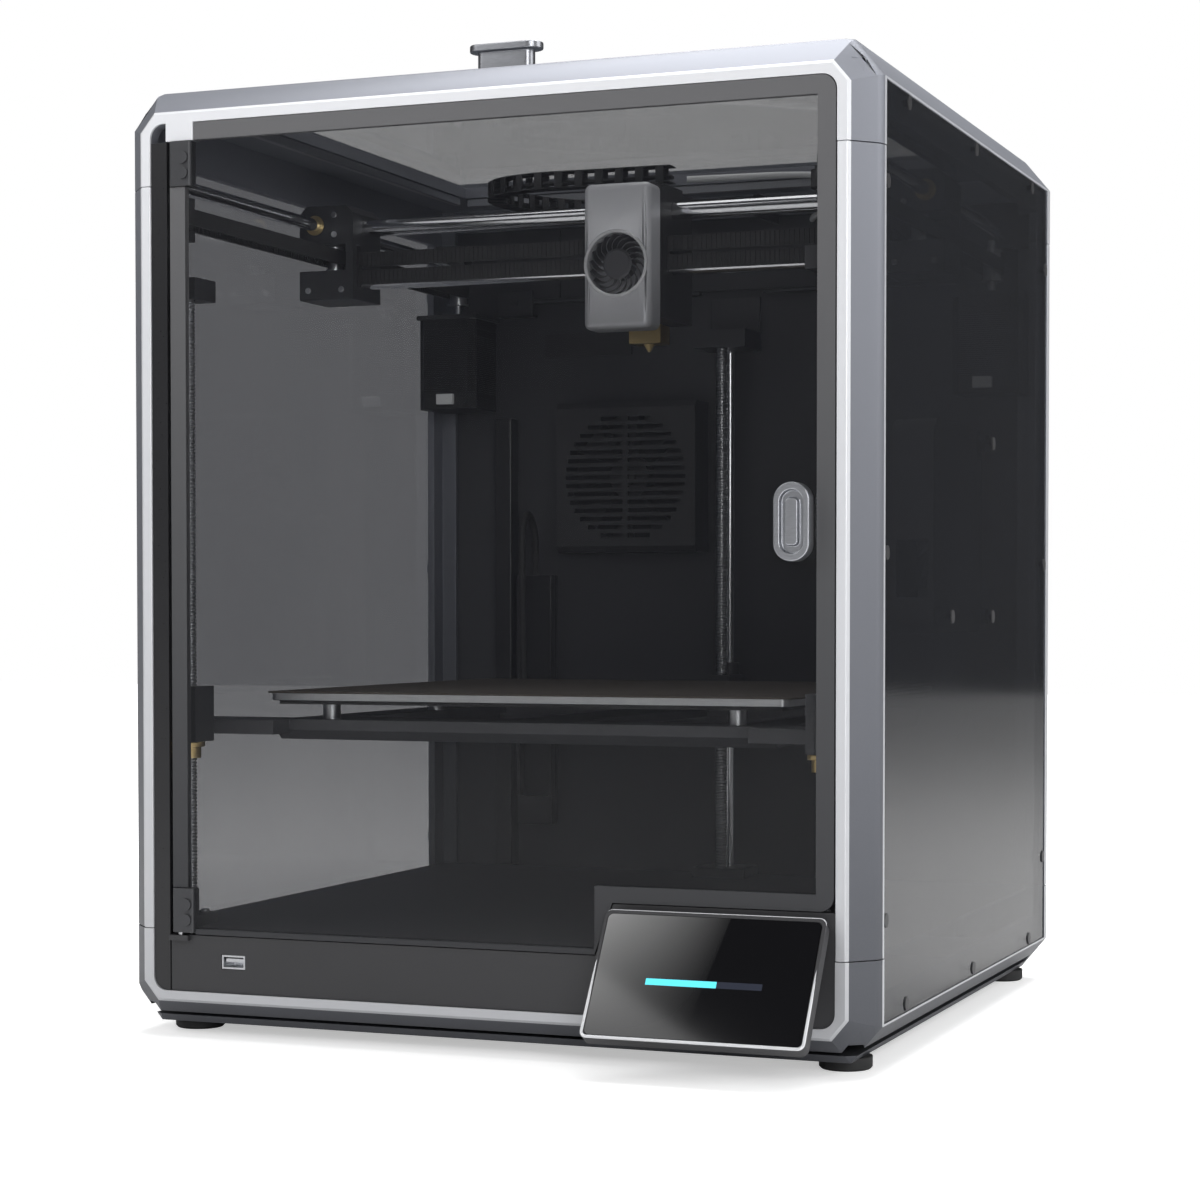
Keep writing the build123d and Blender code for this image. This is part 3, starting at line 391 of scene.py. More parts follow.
def head_paint():
    """Silver tool head cover with a painted highlight, lighter towards the middle of its height."""
    low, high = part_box("head_cover")
    finish = Finish("Head paint")
    x, y, z = finish.place()
    grain = finish.noise(2400.0, 3.0)
    # Painted highlight: the cover is lightest at about three quarters of its height and darker above and
    # below.
    glow = 1 - ((z - low[2]) / (high[2] - low[2]) - 0.72).size() * 1.1
    tone = glow * 0.85 + grain * 0.15
    finish.dress(base_color=finish.blend(tone, (0.2, 0.2, 0.215), (0.85, 0.86, 0.9)))
    finish.dress(metallic=0.3, roughness=grain * 0.08 + 0.36)
    finish.relief(grain, 0.02 * MM, 0.3)
    return finish.material


def rear_finish():
    """Dark powder paint on the back cover and the inside sheets."""
    return plain_finish("Powder paint", (0.05, 0.051, 0.056), 0.5, 0.2, 1500.0, 0.05)


FINISHES = {
    "casing": casing_paint,
    "powder": rear_finish,
    "door": door_finish,
    "smoke": smoked_finish,
    "lid": clear_finish,
    "screen": screen_finish,
    "motor": motor_finish,
    "head": head_paint,
    "chrome": chrome_finish,
    "black": lambda: plain_finish("Black moulding", (0.032, 0.032, 0.035), 0.48, 0.0, 1100.0, 0.04),
    "strip": lambda: plain_finish("Black strip", (0.014, 0.014, 0.016), 0.3, 0.0, 700.0, 0.01),
    "rubber": lambda: plain_finish("Rubber", (0.022, 0.022, 0.023), 0.72, 0.0, 700.0, 0.06),
    "belt": lambda: plain_finish("Belt rubber", (0.03, 0.03, 0.032), 0.6, 0.0, 1600.0, 0.03),
    "silver": lambda: brushed_finish("Satin silver", (0.42, 0.43, 0.46), 0.3, (0.15, 1, 1)),
    "bright": lambda: plain_finish("Bright rim", (0.72, 0.73, 0.75), 0.25, 0.3, 900.0, 0.0, 0.05),
    "steel": lambda: brushed_finish("Turned steel", (0.55, 0.56, 0.58), 0.24, (1, 1, 0.2)),
    "plate": lambda: brushed_finish("Bed plate", (0.66, 0.67, 0.69), 0.3, (0.1, 1, 1)),
    "sheet": lambda: plain_finish("Build sheet", (0.075, 0.062, 0.05), 0.68, 0.3, 1800.0, 0.09),
    "brass": lambda: brushed_finish("Brass", (0.66, 0.5, 0.24), 0.26, (1, 1, 0.2)),
    "board": lambda: plain_finish("Circuit board", (0.02, 0.1, 0.05), 0.4, 0.0, 300.0, 0.1, 0.5),
    "tube": lambda: plain_finish("White tube", (0.72, 0.73, 0.74), 0.34, 0.0, 500.0, 0.01, 0.06),
    "fan": lambda: plain_finish("Fan blades", (0.1, 0.1, 0.108), 0.36, 0.4, 900.0, 0.01),
    "frame": lambda: plain_finish("Carriage", (0.055, 0.056, 0.061), 0.42, 0.35, 1300.0, 0.04),
}

CAD_FINISHES = {
    "casing": ["top_frame", "bottom_frame", "front_columns", "rear_columns"],
    "powder": ["rear_panel", "floor_pan", "z_bearing_blocks", "y_rod_mounts", "bed_frame"],
    "door": ["door_glass"],
    "smoke": ["side_glass_left", "side_glass_right"],
    "lid": ["lid_glass"],
    "screen": ["display_glass"],
    "motor": ["stepper_motors"],
    "head": ["head_cover"],
    "chrome": ["z_rods", "y_rods", "x_rods"],
    "black": ["lower_fascia", "display_housing", "chamber_fan_box", "aux_fan_housing", "power_inlet",
              "power_switch", "head_body", "cable_chain", "chamber_fan", "aux_fan", "panel_screws"],
    "strip": ["hinge_rail"],
    "rubber": ["feet", "bed_heater", "bed_cable"],
    "belt": ["z_belt", "x_belts", "y_belts"],
    "silver": ["door_handle", "lid_handle"],
    "steel": ["usb_socket", "hinge_pins", "power_supply", "bed_standoffs",
              "z_screw_front_left", "z_screw_front_right", "z_screw_rear", "z_motor_pulley", "idler_left",
              "idler_right", "motor_pulley_left", "motor_pulley_right", "head_fan"],
    "plate": ["bed_plate"],
    "sheet": ["build_sheet"],
    "brass": ["hotend"],
    "board": ["mainboard"],
    "tube": ["filament_tube"],
    "frame": ["gantry_carriages", "nut_blocks", "door_clamps"],
}

made_finishes = {}


def finish_of(name):
    """The material of that name, made once."""
    if name not in made_finishes:
        made_finishes[name] = FINISHES[name]()
    return made_finishes[name]


# ------------------------------------------------------------------ mesh kit


def body_of_node(node):
    """The CAD body that holds a node."""
    for body, nodes in frame["record"]["behaviour"]["bodies"].items():
        if node in nodes:
            return body
    raise RuntimeError("no body holds " + node)


def piece_from(name, mesh_maker, finish, smooth=True):
    """A finished object whose mesh the maker shapes."""
    mesh = bpy.data.meshes.new(name)
    shape = bmesh.new()
    mesh_maker(shape)
    shape.to_mesh(mesh)
    shape.free()
    mesh.materials.append(finish_of(finish))
    if smooth:
        for polygon in mesh.polygons:
            polygon.use_smooth = True
        mesh.set_sharp_from_angle(angle=math.radians(32))
    made = bpy.data.objects.new(name, mesh)
    bpy.context.scene.collection.objects.link(made)
    return made


def ride_with(made, node, replaced=False):
    """The piece moves with a node's body and may stand for it."""
    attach(made, body_of_node(node))
    if replaced:
        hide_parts(node)
    return made


def add_box(shape, low, high, round_off=0.0):
    """A box between two corners, with its edges rounded."""
    low = Vector(low)
    high = Vector(high)
    size = high - low
    place = Matrix.Translation((low + high) / 2) @ Matrix.Diagonal((*size, 1.0))
    made = bmesh.ops.create_cube(shape, size=1.0, matrix=place)
    if round_off > 0:
        edges = list({edge for vert in made["verts"] for edge in vert.link_edges})
        bmesh.ops.bevel(
            shape, geom=edges, offset=round_off, segments=2, profile=0.5, affect="EDGES", material=-1
        )


def turned(axis):
    """The turn that carries +Z onto an axis."""
    return Vector(axis).to_track_quat("Z", "Y").to_matrix().to_4x4()


def add_turning(shape, centre, axis, profile, steps=48):
    """A turned piece: (radius, height) points spun about an axis, closed at both ends."""
    verts = [shape.verts.new((radius, 0, height)) for radius, height in profile]
    edges = [shape.edges.new(pair) for pair in zip(verts, verts[1:])]
    bmesh.ops.spin(
        shape,
        geom=verts + edges,
        cent=(0, 0, 0),
        axis=(0, 0, 1),
        dvec=(0, 0, 0),
        angle=math.tau,
        steps=steps,
        use_merge=True,
        use_duplicate=False,
    )
    whole = connected(shape, verts[0])
    bmesh.ops.remove_doubles(shape, verts=whole, dist=1e-6)
    whole = connected(shape, [vert for vert in whole if vert.is_valid][0])
    faces = list({face for vert in whole for face in vert.link_faces})
    bmesh.ops.recalc_face_normals(shape, faces=faces)
    place = Matrix.Translation(Vector(centre)) @ turned(axis)
    bmesh.ops.transform(shape, matrix=place, verts=whole)


def connected(shape, start):
    """Every vertex joined to one by edges."""
    found = {start}
    queue = [start]
    while queue:
        for edge in queue.pop().link_edges:
            for vert in edge.verts:
                if vert not in found:
                    found.add(vert)
                    queue.append(vert)
    return list(found)


def disc(radius, thickness, edge):
    """The profile of a closed disc with a rounded rim."""
    return [
        (0.0, 0.0),
        (radius - edge, 0.0),
        (radius, edge),
        (radius, thickness - edge),
        (radius - edge, thickness),
        (0.0, thickness),
    ]


def smooth_line(points, name):
    """Points along a smooth open line that has these control points."""
    curve = bpy.data.curves.new(name, "CURVE")
    curve.dimensions = "3D"
    curve.resolution_u = 14
    spline = curve.splines.new("NURBS")
    spline.points.add(len(points) - 1)
    for point, place in zip(spline.points, points):
        point.co = (*place, 1.0)
    spline.order_u = 3
    spline.use_endpoint_u = True
    holder = bpy.data.objects.new(name, curve)
    bpy.context.scene.collection.objects.link(holder)
    bpy.context.view_layer.update()
    mesh = bpy.data.meshes.new_from_object(holder.evaluated_get(bpy.context.evaluated_depsgraph_get()))
    line = [vert.co.copy() for vert in mesh.vertices]
    bpy.data.objects.remove(holder)
    bpy.data.meshes.remove(mesh)
    return line


def add_tube(shape, line, radius, sides=14):
    """A closed tube along a line of points."""
    rings = []
    side_way = Vector((0, 0, 1))
    for index, point in enumerate(line):
        before = line[max(index - 1, 0)]
        after = line[min(index + 1, len(line) - 1)]
        along = (after - before).normalized()
        side_way = (side_way - along * side_way.dot(along)).normalized()
        other = along.cross(side_way)
        turn = Matrix((side_way, other, along)).transposed().to_4x4()
        place = Matrix.Translation(point) @ turn
        ring = bmesh.ops.create_circle(shape, cap_ends=False, segments=sides, radius=radius, matrix=place)
        rings.append(ring["verts"])
    for first, second in zip(rings, rings[1:]):
        edges = [edge for vert in first for edge in vert.link_edges if edge.other_vert(vert) in first]
        edges += [edge for vert in second for edge in vert.link_edges if edge.other_vert(vert) in second]
        bmesh.ops.bridge_loops(shape, edges=list(set(edges)))
    for ring in (rings[0], rings[-1]):
        shape.faces.new(ring)
    bmesh.ops.recalc_face_normals(shape, faces=shape.faces)


# ------------------------------------------------------------------ pieces


def walk_node(node):
    """A node's mesh as one merged shape, with its flat triangles joined."""
    shape = bmesh.new()
    shape.from_mesh(frame["nodes"][node].data)
    bmesh.ops.transform(shape, matrix=frame["nodes"][node].matrix_world, verts=shape.verts)
    bmesh.ops.remove_doubles(shape, verts=shape.verts, dist=2e-6)
    bmesh.ops.dissolve_limit(
        shape, angle_limit=math.radians(0.6), verts=shape.verts, edges=shape.edges, delimit=set()
    )
    return shape


def ease_node(node, finish, width):
    """A copy of a node with its sharp edges rounded over, which stands for it."""
    shape = walk_node(node)
    if node in SOFTENED:
        soften_corners(shape)
    mesh = bpy.data.meshes.new(node + "_eased")
    shape.to_mesh(mesh)
    shape.free()
    mesh.materials.append(finish_of(finish))
    made = bpy.data.objects.new(node + "_eased", mesh)
    bpy.context.scene.collection.objects.link(made)
    bevel = made.modifiers.new("Edges", "BEVEL")
    bevel.width = width
    bevel.segments = 2
    bevel.limit_method = "ANGLE"
    bevel.angle_limit = math.radians(28)
    bevel.use_clamp_overlap = True
    bevel.harden_normals = True
    for polygon in mesh.polygons:
        polygon.use_smooth = True
    mesh.set_sharp_from_angle(angle=math.radians(30))
    return ride_with(made, node, True)


SOFTENED = ("top_frame", "bottom_frame", "front_columns")
SOFTENED_WIDTH = 4.5 * MM
BEVEL_DEPTH = 15.9 * MM
BEVEL_REACH = 8.6 * MM
LONG_EDGE = 15 * MM


def is_bevel_edge(edge):
    """Whether an edge is a long one that runs level round the outside of the casing's front bevel."""
    if len(edge.link_faces) != 2 or edge.calc_face_angle_signed(0.0) <= math.radians(20):
        return False
    first, second = (vert.co for vert in edge.verts)
    middle = (first + second) / 2
    outer = abs(middle.x) > HALF_WIDTH - BEVEL_REACH
    ahead = FRONT + 1 * MM < middle.y < FRONT + BEVEL_DEPTH
    level = abs(first.y - second.y) < 1 * MM
    return outer and ahead and level and edge.calc_length() > LONG_EDGE


def soften_corners(shape):
    """Rounds the long outer edges of the casing's front bevel."""
    bmesh.ops.bevel(
        shape,
        geom=[edge for edge in shape.edges if is_bevel_edge(edge)],
        offset=SOFTENED_WIDTH,
        segments=5,
        profile=0.5,
        affect="EDGES",
        material=-1,
        clamp_overlap=True,
    )


EASED = {
    "top_frame": ("casing", 0.7),
    "bottom_frame": ("casing", 0.7),
    "front_columns": ("casing", 0.6),
    "rear_columns": ("casing", 0.5),
    "door_handle": ("silver", 0.7),
    "lid_handle": ("silver", 0.8),
    "head_cover": ("head", 0.5),
    "head_body": ("black", 0.6),
    "display_housing": ("black", 0.5),
    "gantry_carriages": ("frame", 0.6),
    "nut_blocks": ("frame", 0.6),
    "z_bearing_blocks": ("frame", 0.5),
    "y_rod_mounts": ("powder", 0.4),
    "chamber_fan_box": ("black", 0.4),
    "aux_fan_housing": ("black", 0.6),
    "bed_frame": ("powder", 0.4),
    "bed_plate": ("plate", 0.4),
}


class FinishNodes(bpy.types.Operator):
    """Gives every CAD node the finish of its material"""

    bl_idname = "printer.finish_nodes"
    bl_label = "Node finishes"

    def execute(self, context):
        for finish, nodes in CAD_FINISHES.items():
            for node in nodes:
                mesh = frame["nodes"][node].data
                mesh.materials.clear()
                mesh.materials.append(finish_of(finish))
        return {"FINISHED"}


class EaseEdges(bpy.types.Operator):
    """Rounds the sharp edges of casings, blocks and handles"""

    bl_idname = "printer.ease_edges"
    bl_label = "Eased edges"

    def execute(self, context):
        for node, (finish, width) in EASED.items():
            ease_node(node, finish, width * MM)
        return {"FINISHED"}


class LeadScrews(bpy.types.Operator):
    """The three lead screws, each with a thread, a belt pulley at its foot and a cap"""

    bl_idname = "printer.lead_screws"
    bl_label = "Lead screws"

    def execute(self, context):
        pitch = drive_looks().thread_pitch
        for node in ("z_screw_front_left", "z_screw_front_right", "z_screw_rear"):
            low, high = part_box(node)
            made = piece_from(node + "_thread", lambda shape: self.screw(shape, low, high, pitch), "steel")
            ride_with(made, node, True)
        return {"FINISHED"}

    def screw(self, shape, low, high, pitch):
        """One screw: its thread, the pulley below it and the cap on top."""
        centre = ((low[0] + high[0]) / 2, (low[1] + high[1]) / 2)
        root = 3.15 * MM
        crest = 3.95 * MM
        plain_ends = 14 * MM
        turns = int((high[2] - low[2] - plain_ends) / pitch)
        ridge = [(root, 0.0), (crest, 0.3 * pitch), (crest, 0.5 * pitch), (root, 0.8 * pitch)]
        self.thread(shape, (*centre, low[2] + 13 * MM), ridge, pitch, turns)
        flange = 10.5 * MM
        inner = 9.0 * MM
        wheel = [(0, 0), (flange, 0), (flange, 1 * MM), (inner, 1 * MM), (inner, 9 * MM), (flange, 9 * MM)]
        wheel += [(flange, 10 * MM), (root, 10 * MM), (root, 13.2 * MM), (0, 13.2 * MM)]
        add_turning(shape, (*centre, low[2] + 2 * MM), (0, 0, 1), wheel, 40)
        cap = [(0, 0), (root, 0), (root, 1.4 * MM), (root - 0.4 * MM, 1.8 * MM), (0, 1.8 * MM)]
        add_turning(shape, (*centre, high[2] - 1.8 * MM), (0, 0, 1), cap, 24)

    def thread(self, shape, start, ridge, pitch, turns):
        """A helical ridge: its outline is stepped round the axis, and each turn joins the next."""
        steps = 16
        rows = []
        for step in range(steps * turns + 1):
            turn = step * math.tau / steps
            rise = start[2] + step * pitch / steps
            row = [
                shape.verts.new((start[0] + r * math.cos(turn), start[1] + r * math.sin(turn), rise + height))
                for r, height in ridge
            ]
            rows.append(row)
        for index, (row, after) in enumerate(zip(rows, rows[1:])):
            if index + 1 + steps < len(rows):
                row = row + [rows[index + steps][0]]
                after = after + [rows[index + 1 + steps][0]]
            for k in range(len(row) - 1):
                shape.faces.new((row[k], after[k], after[k + 1], row[k + 1]))


class Belts(bpy.types.Operator):
    """Toothed belts: two runs on the bridge and a loop along each side"""

    bl_idname = "printer.belts"
    bl_label = "Toothed belts"

    def execute(self, context):
        ride_with(piece_from("x_belts_toothed", self.bridge, "belt", False), "x_belts", True)
        ride_with(piece_from("y_belt_teeth", self.sides, "belt", False), "y_belts")
        return {"FINISHED"}

    def bridge(self, shape):
        """The upper and lower run across the bridge, toothed on the front."""
        low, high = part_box("x_belts")
        width = 9 * MM
        back = 1.0 * MM
        sunk = 0.2 * MM
        height = drive_looks().tooth_height
        pitch = drive_looks().tooth_pitch
        for bottom in (low[2], high[2] - width):
            add_box(shape, (low[0], low[1], bottom), (high[0], low[1] + back, bottom + width), 0.15 * MM)
            for index in range(int((high[0] - low[0]) / pitch)):
                x = low[0] + (index + 0.25) * pitch
                add_box(
                    shape,
                    (x, low[1] - height, bottom + sunk),
                    (x + pitch * 0.5, low[1] + sunk, bottom + width - sunk),
                )

    def sides(self, shape):
        """The teeth inside both runs of the loop along each side."""
        low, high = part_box("y_belts")
        pitch = drive_looks().tooth_pitch
        height = drive_looks().tooth_height
        reach = 7.9 * MM
        back = 1.5 * MM
        sunk = 0.2 * MM
        for side in (-1, 1):
            for run in (-1, 1):
                centre = side * (high[0] - reach)
                face = centre + run * (reach - back)
                for index in range(int((high[1] - low[1] - 2 * reach) / pitch)):
                    y = low[1] + reach + (index + 0.25) * pitch
                    inner = face - run * height
                    add_box(
                        shape,
                        (min(face, inner), y, low[2] + sunk),
                        (max(face, inner), y + pitch * 0.5, high[2] - sunk),
                    )


class CoolingFan(bpy.types.Operator):
    """The tool head's cooling fan: hub, curved blades and the bright ring round it"""

    bl_idname = "printer.cooling_fan"
    bl_label = "Cooling fan"

    def execute(self, context):
        low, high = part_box("head_fan")
        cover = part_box("head_cover")
        fan_height = 440 * MM
        self.centre = ((low[0] + high[0]) / 2, cover[0][1], fan_height)
        ride_with(piece_from("head_fan_blades", self.wheel, "fan"), "head_fan", True)
        ride_with(piece_from("head_fan_ring", self.ring, "bright"), "head_cover")
        return {"FINISHED"}

    def wheel(self, shape):
        """The hub, its pin and the blades round it."""
        x, y, z = self.centre
        hub = [(0, 0), (7.6 * MM, 0), (9 * MM, 1.2 * MM), (9 * MM, 9 * MM), (0, 9 * MM)]
        add_turning(shape, (x, y + 1.6 * MM, z), (0, 1, 0), hub, 40)
        pin = disc(1.5 * MM, 3 * MM, 0.2 * MM)
        add_turning(shape, (x, y + 10 * MM, z), (0, 1, 0), pin, 16)
        blades = drive_looks().fan_blades
        for index in range(blades):
            self.blade(shape, index * math.tau / blades)

    def blade(self, shape, turn):
        """One swept blade, as a thin curved wall from the hub to the rim."""
        x, y, z = self.centre
        inner = 8.7 * MM
        outer = 17.3 * MM
        backsweep = 0.55
        twist = 0.16
        verts = []
        for step in range(6):
            share = step / 5
            radius = inner + (outer - inner) * share
            sweep = turn + backsweep * share * share
            place = (x + radius * math.sin(sweep), y + 2.6 * MM, z + radius * math.cos(sweep))
            verts.append(shape.verts.new(place))
        edges = [shape.edges.new(pair) for pair in zip(verts, verts[1:])]
        grown = bmesh.ops.extrude_edge_only(shape, edges=edges)["geom"]
        moved = [item for item in grown if isinstance(item, bmesh.types.BMVert)]
        bmesh.ops.translate(shape, vec=(0, 6.4 * MM, 0), verts=moved)
        spin = Matrix.Rotation(twist, 4, "Y")
        centre = Matrix.Translation((x, y, z))
        bmesh.ops.transform(shape, matrix=centre @ spin @ centre.inverted(), verts=moved)
        faces = list({face for vert in verts for face in vert.link_faces})
        bmesh.ops.solidify(shape, geom=faces, thickness=0.5 * MM)

    def ring(self, shape):
        """The bright ring that frames the fan's opening."""
        profile = [(17.9, 2.4), (17.9, -0.5), (18.3, -0.9), (19.4, -0.9), (19.9, -0.4), (19.9, 0.0)]
        outline = [(radius * MM, height * MM) for radius, height in profile]
        outline += [(18.55 * MM, 0.0), (18.55 * MM, 2.4 * MM), outline[0]]
        add_turning(shape, self.centre, (0, 1, 0), outline, 64)


def at(x, depth, z):
    """A point from millimetres: across, back from the frame's face, and up."""
    return (x * MM, FRONT + depth * MM, z * MM)


CARRIER_ROUTE = [
    at(26, 232, 501), at(-20, 231, 501), at(-62, 228, 501), at(-92, 240, 501), at(-107, 268, 501),
    at(-103, 304, 501), at(-86, 334, 501), at(-58, 356, 501), at(-20, 369, 501), at(34, 369, 501),
]
FILAMENT_ROUTE = [
    at(34, 236, 498), at(60, 244, 499), at(92, 258, 501), at(118, 280, 502), at(130, 308, 502),
    at(124, 342, 502), at(106, 370, 501), at(82, 390, 499), at(62, 400, 497), at(60, 411.7, 496),
]
BED_CABLE_ROUTE = [
    at(-136, 404, 262), at(-136, 404, 284), at(-136, 398, 300), at(-135, 385, 305), at(-134, 375, 292),
    at(-133, 372.5, 264), at(-132, 371, 234), at(-131, 370, 204), at(-130, 369.6, 174),
]


def halfway(first, second):
    """The middle of two points."""
    return tuple((a + b) / 2 for a, b in zip(first, second))


class CableCarrier(bpy.types.Operator):
    """The linked cable carrier that loops from the tool head to the rear wall"""

    bl_idname = "printer.cable_carrier"
    bl_label = "Cable carrier"

    def execute(self, context):
        middle = halfway(CARRIER_ROUTE[4], CARRIER_ROUTE[5])
        first = CARRIER_ROUTE[:5] + [middle]
        second = [middle] + CARRIER_ROUTE[5:]
        front = piece_from("carrier_front", lambda shape: self.links(shape, first), "black")
        rear = piece_from("carrier_rear", lambda shape: self.links(shape, second), "black")
        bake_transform(front)
        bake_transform(rear)
        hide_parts("cable_chain")
        return {"FINISHED"}

    def links(self, shape, route):
        """Links one after another along a smooth line."""
        line = smooth_line(route, "carrier_line")
        pitch = drive_looks().link_pitch
        model = self.link_model()
        travelled = 0.0
        wanted = pitch / 2
        for before, after in zip(line, line[1:]):
            step = (after - before).length
            while travelled + step >= wanted:
                share = (wanted - travelled) / step
                self.place_link(shape, model, before.lerp(after, share), (after - before).normalized())
                wanted += pitch
            travelled += step

    def place_link(self, shape, model, place, along):
        """Copies the model link to a place on the line, turned to run along it."""
        up = Vector((0, 0, 1))
        side = up.cross(along)
        turn = Matrix((along, side, up)).transposed().to_4x4()
        copy = model.copy()
        copy.transform(Matrix.Translation(place) @ turn)
        shape.from_mesh(copy)
        bpy.data.meshes.remove(copy)

    def link_model(self):
        """One link: two side plates with round ends, two bridges and the cables in it."""
        shape = bmesh.new()
        for offset in (-5.2, 4.4):
            low = (-7 * MM, -5.4 * MM, offset * MM)
            add_box(shape, low, (7 * MM, 5.4 * MM, (offset + 0.8) * MM), 0.25 * MM)
            add_turning(shape, (4.4 * MM, 0, offset * MM), (0, 0, 1), disc(4.2 * MM, 1.1 * MM, 0.2 * MM), 20)
        for offset in (-5.4, 4.4):
            low = (-2.6 * MM, offset * MM, -4.8 * MM)
            add_box(shape, low, (2.6 * MM, (offset + 1) * MM, 4.8 * MM), 0.25 * MM)
        for lane in (-2.4, 0, 2.4):
            core = disc(1.1 * MM, 13.2 * MM, 0.1 * MM)
            add_turning(shape, (-6.6 * MM, lane * MM, -1.5 * MM), (1, 0, 0), core, 10)
        mesh = bpy.data.meshes.new("link_model")
        shape.to_mesh(mesh)
        shape.free()
        return mesh


class Cords(bpy.types.Operator):
    """The filament tube and the bed's cable"""

    bl_idname = "printer.cords"
    bl_label = "Tube and cable"

    def execute(self, context):
        middle = halfway(FILAMENT_ROUTE[3], FILAMENT_ROUTE[4])
        front = self.cord("filament_tube_front", FILAMENT_ROUTE[:4] + [middle], 2.0, "tube", "white_tube")
        rear = self.cord("filament_tube_rear", [middle] + FILAMENT_ROUTE[4:], 2.0, "tube", "white_tube")
        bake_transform(front)
        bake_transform(rear)
        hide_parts("filament_tube")
        cable = self.cord("bed_cable_loop", BED_CABLE_ROUTE, 2.5, "rubber", "rubber")
        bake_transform(cable)
        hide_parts("bed_cable")
        return {"FINISHED"}

    def cord(self, name, route, radius, finish, slot):
        line = smooth_line(route, name + "_line")
        made = piece_from(name, lambda shape: add_tube(shape, line, radius * MM), finish)
        return made


class CornerPatches(bpy.types.Operator):
    """Closes the casing's bevel where the inside corner comes through it"""

    bl_idname = "printer.corner_patches"
    bl_label = "Corner patches"

    def execute(self, context):
        ride_with(piece_from("corner_patches", self.patches, "casing", False), "top_frame")
        return {"FINISHED"}

    def patches(self, shape):
        """A thin three-sided plate across each corner of the bevel."""
        upper = ((208.9, 8.8, 507.0), (201.6, 8.8, 515.6), (208.9, 14.5, 515.6))
        lower = ((208.9, 8.8, 25.69), (201.6, 8.8, 17.0), (208.9, 14.5, 17.0))
        thickness = 1.5 * MM
        for rise, corners in ((1, upper), (-1, lower)):
            for side in (-1, 1):
                outer = [Vector(at(side * x, depth, z)) for x, depth, z in corners]
                inward = Vector((-side * 0.6, 0.8, -rise * 0.6)).normalized() * thickness
                front = [shape.verts.new(point + inward * 0.1) for point in outer]
                back = [shape.verts.new(point + inward) for point in outer]
                shape.faces.new(front)
                shape.faces.new(back)
                for k in range(3):
                    after = (k + 1) % 3
                    shape.faces.new((front[k], front[after], back[after], back[k]))
        bmesh.ops.recalc_face_normals(shape, faces=shape.faces)


DISPLAY_TILT = math.radians(32.6)
DISPLAY_THICKNESS = 8 * MM


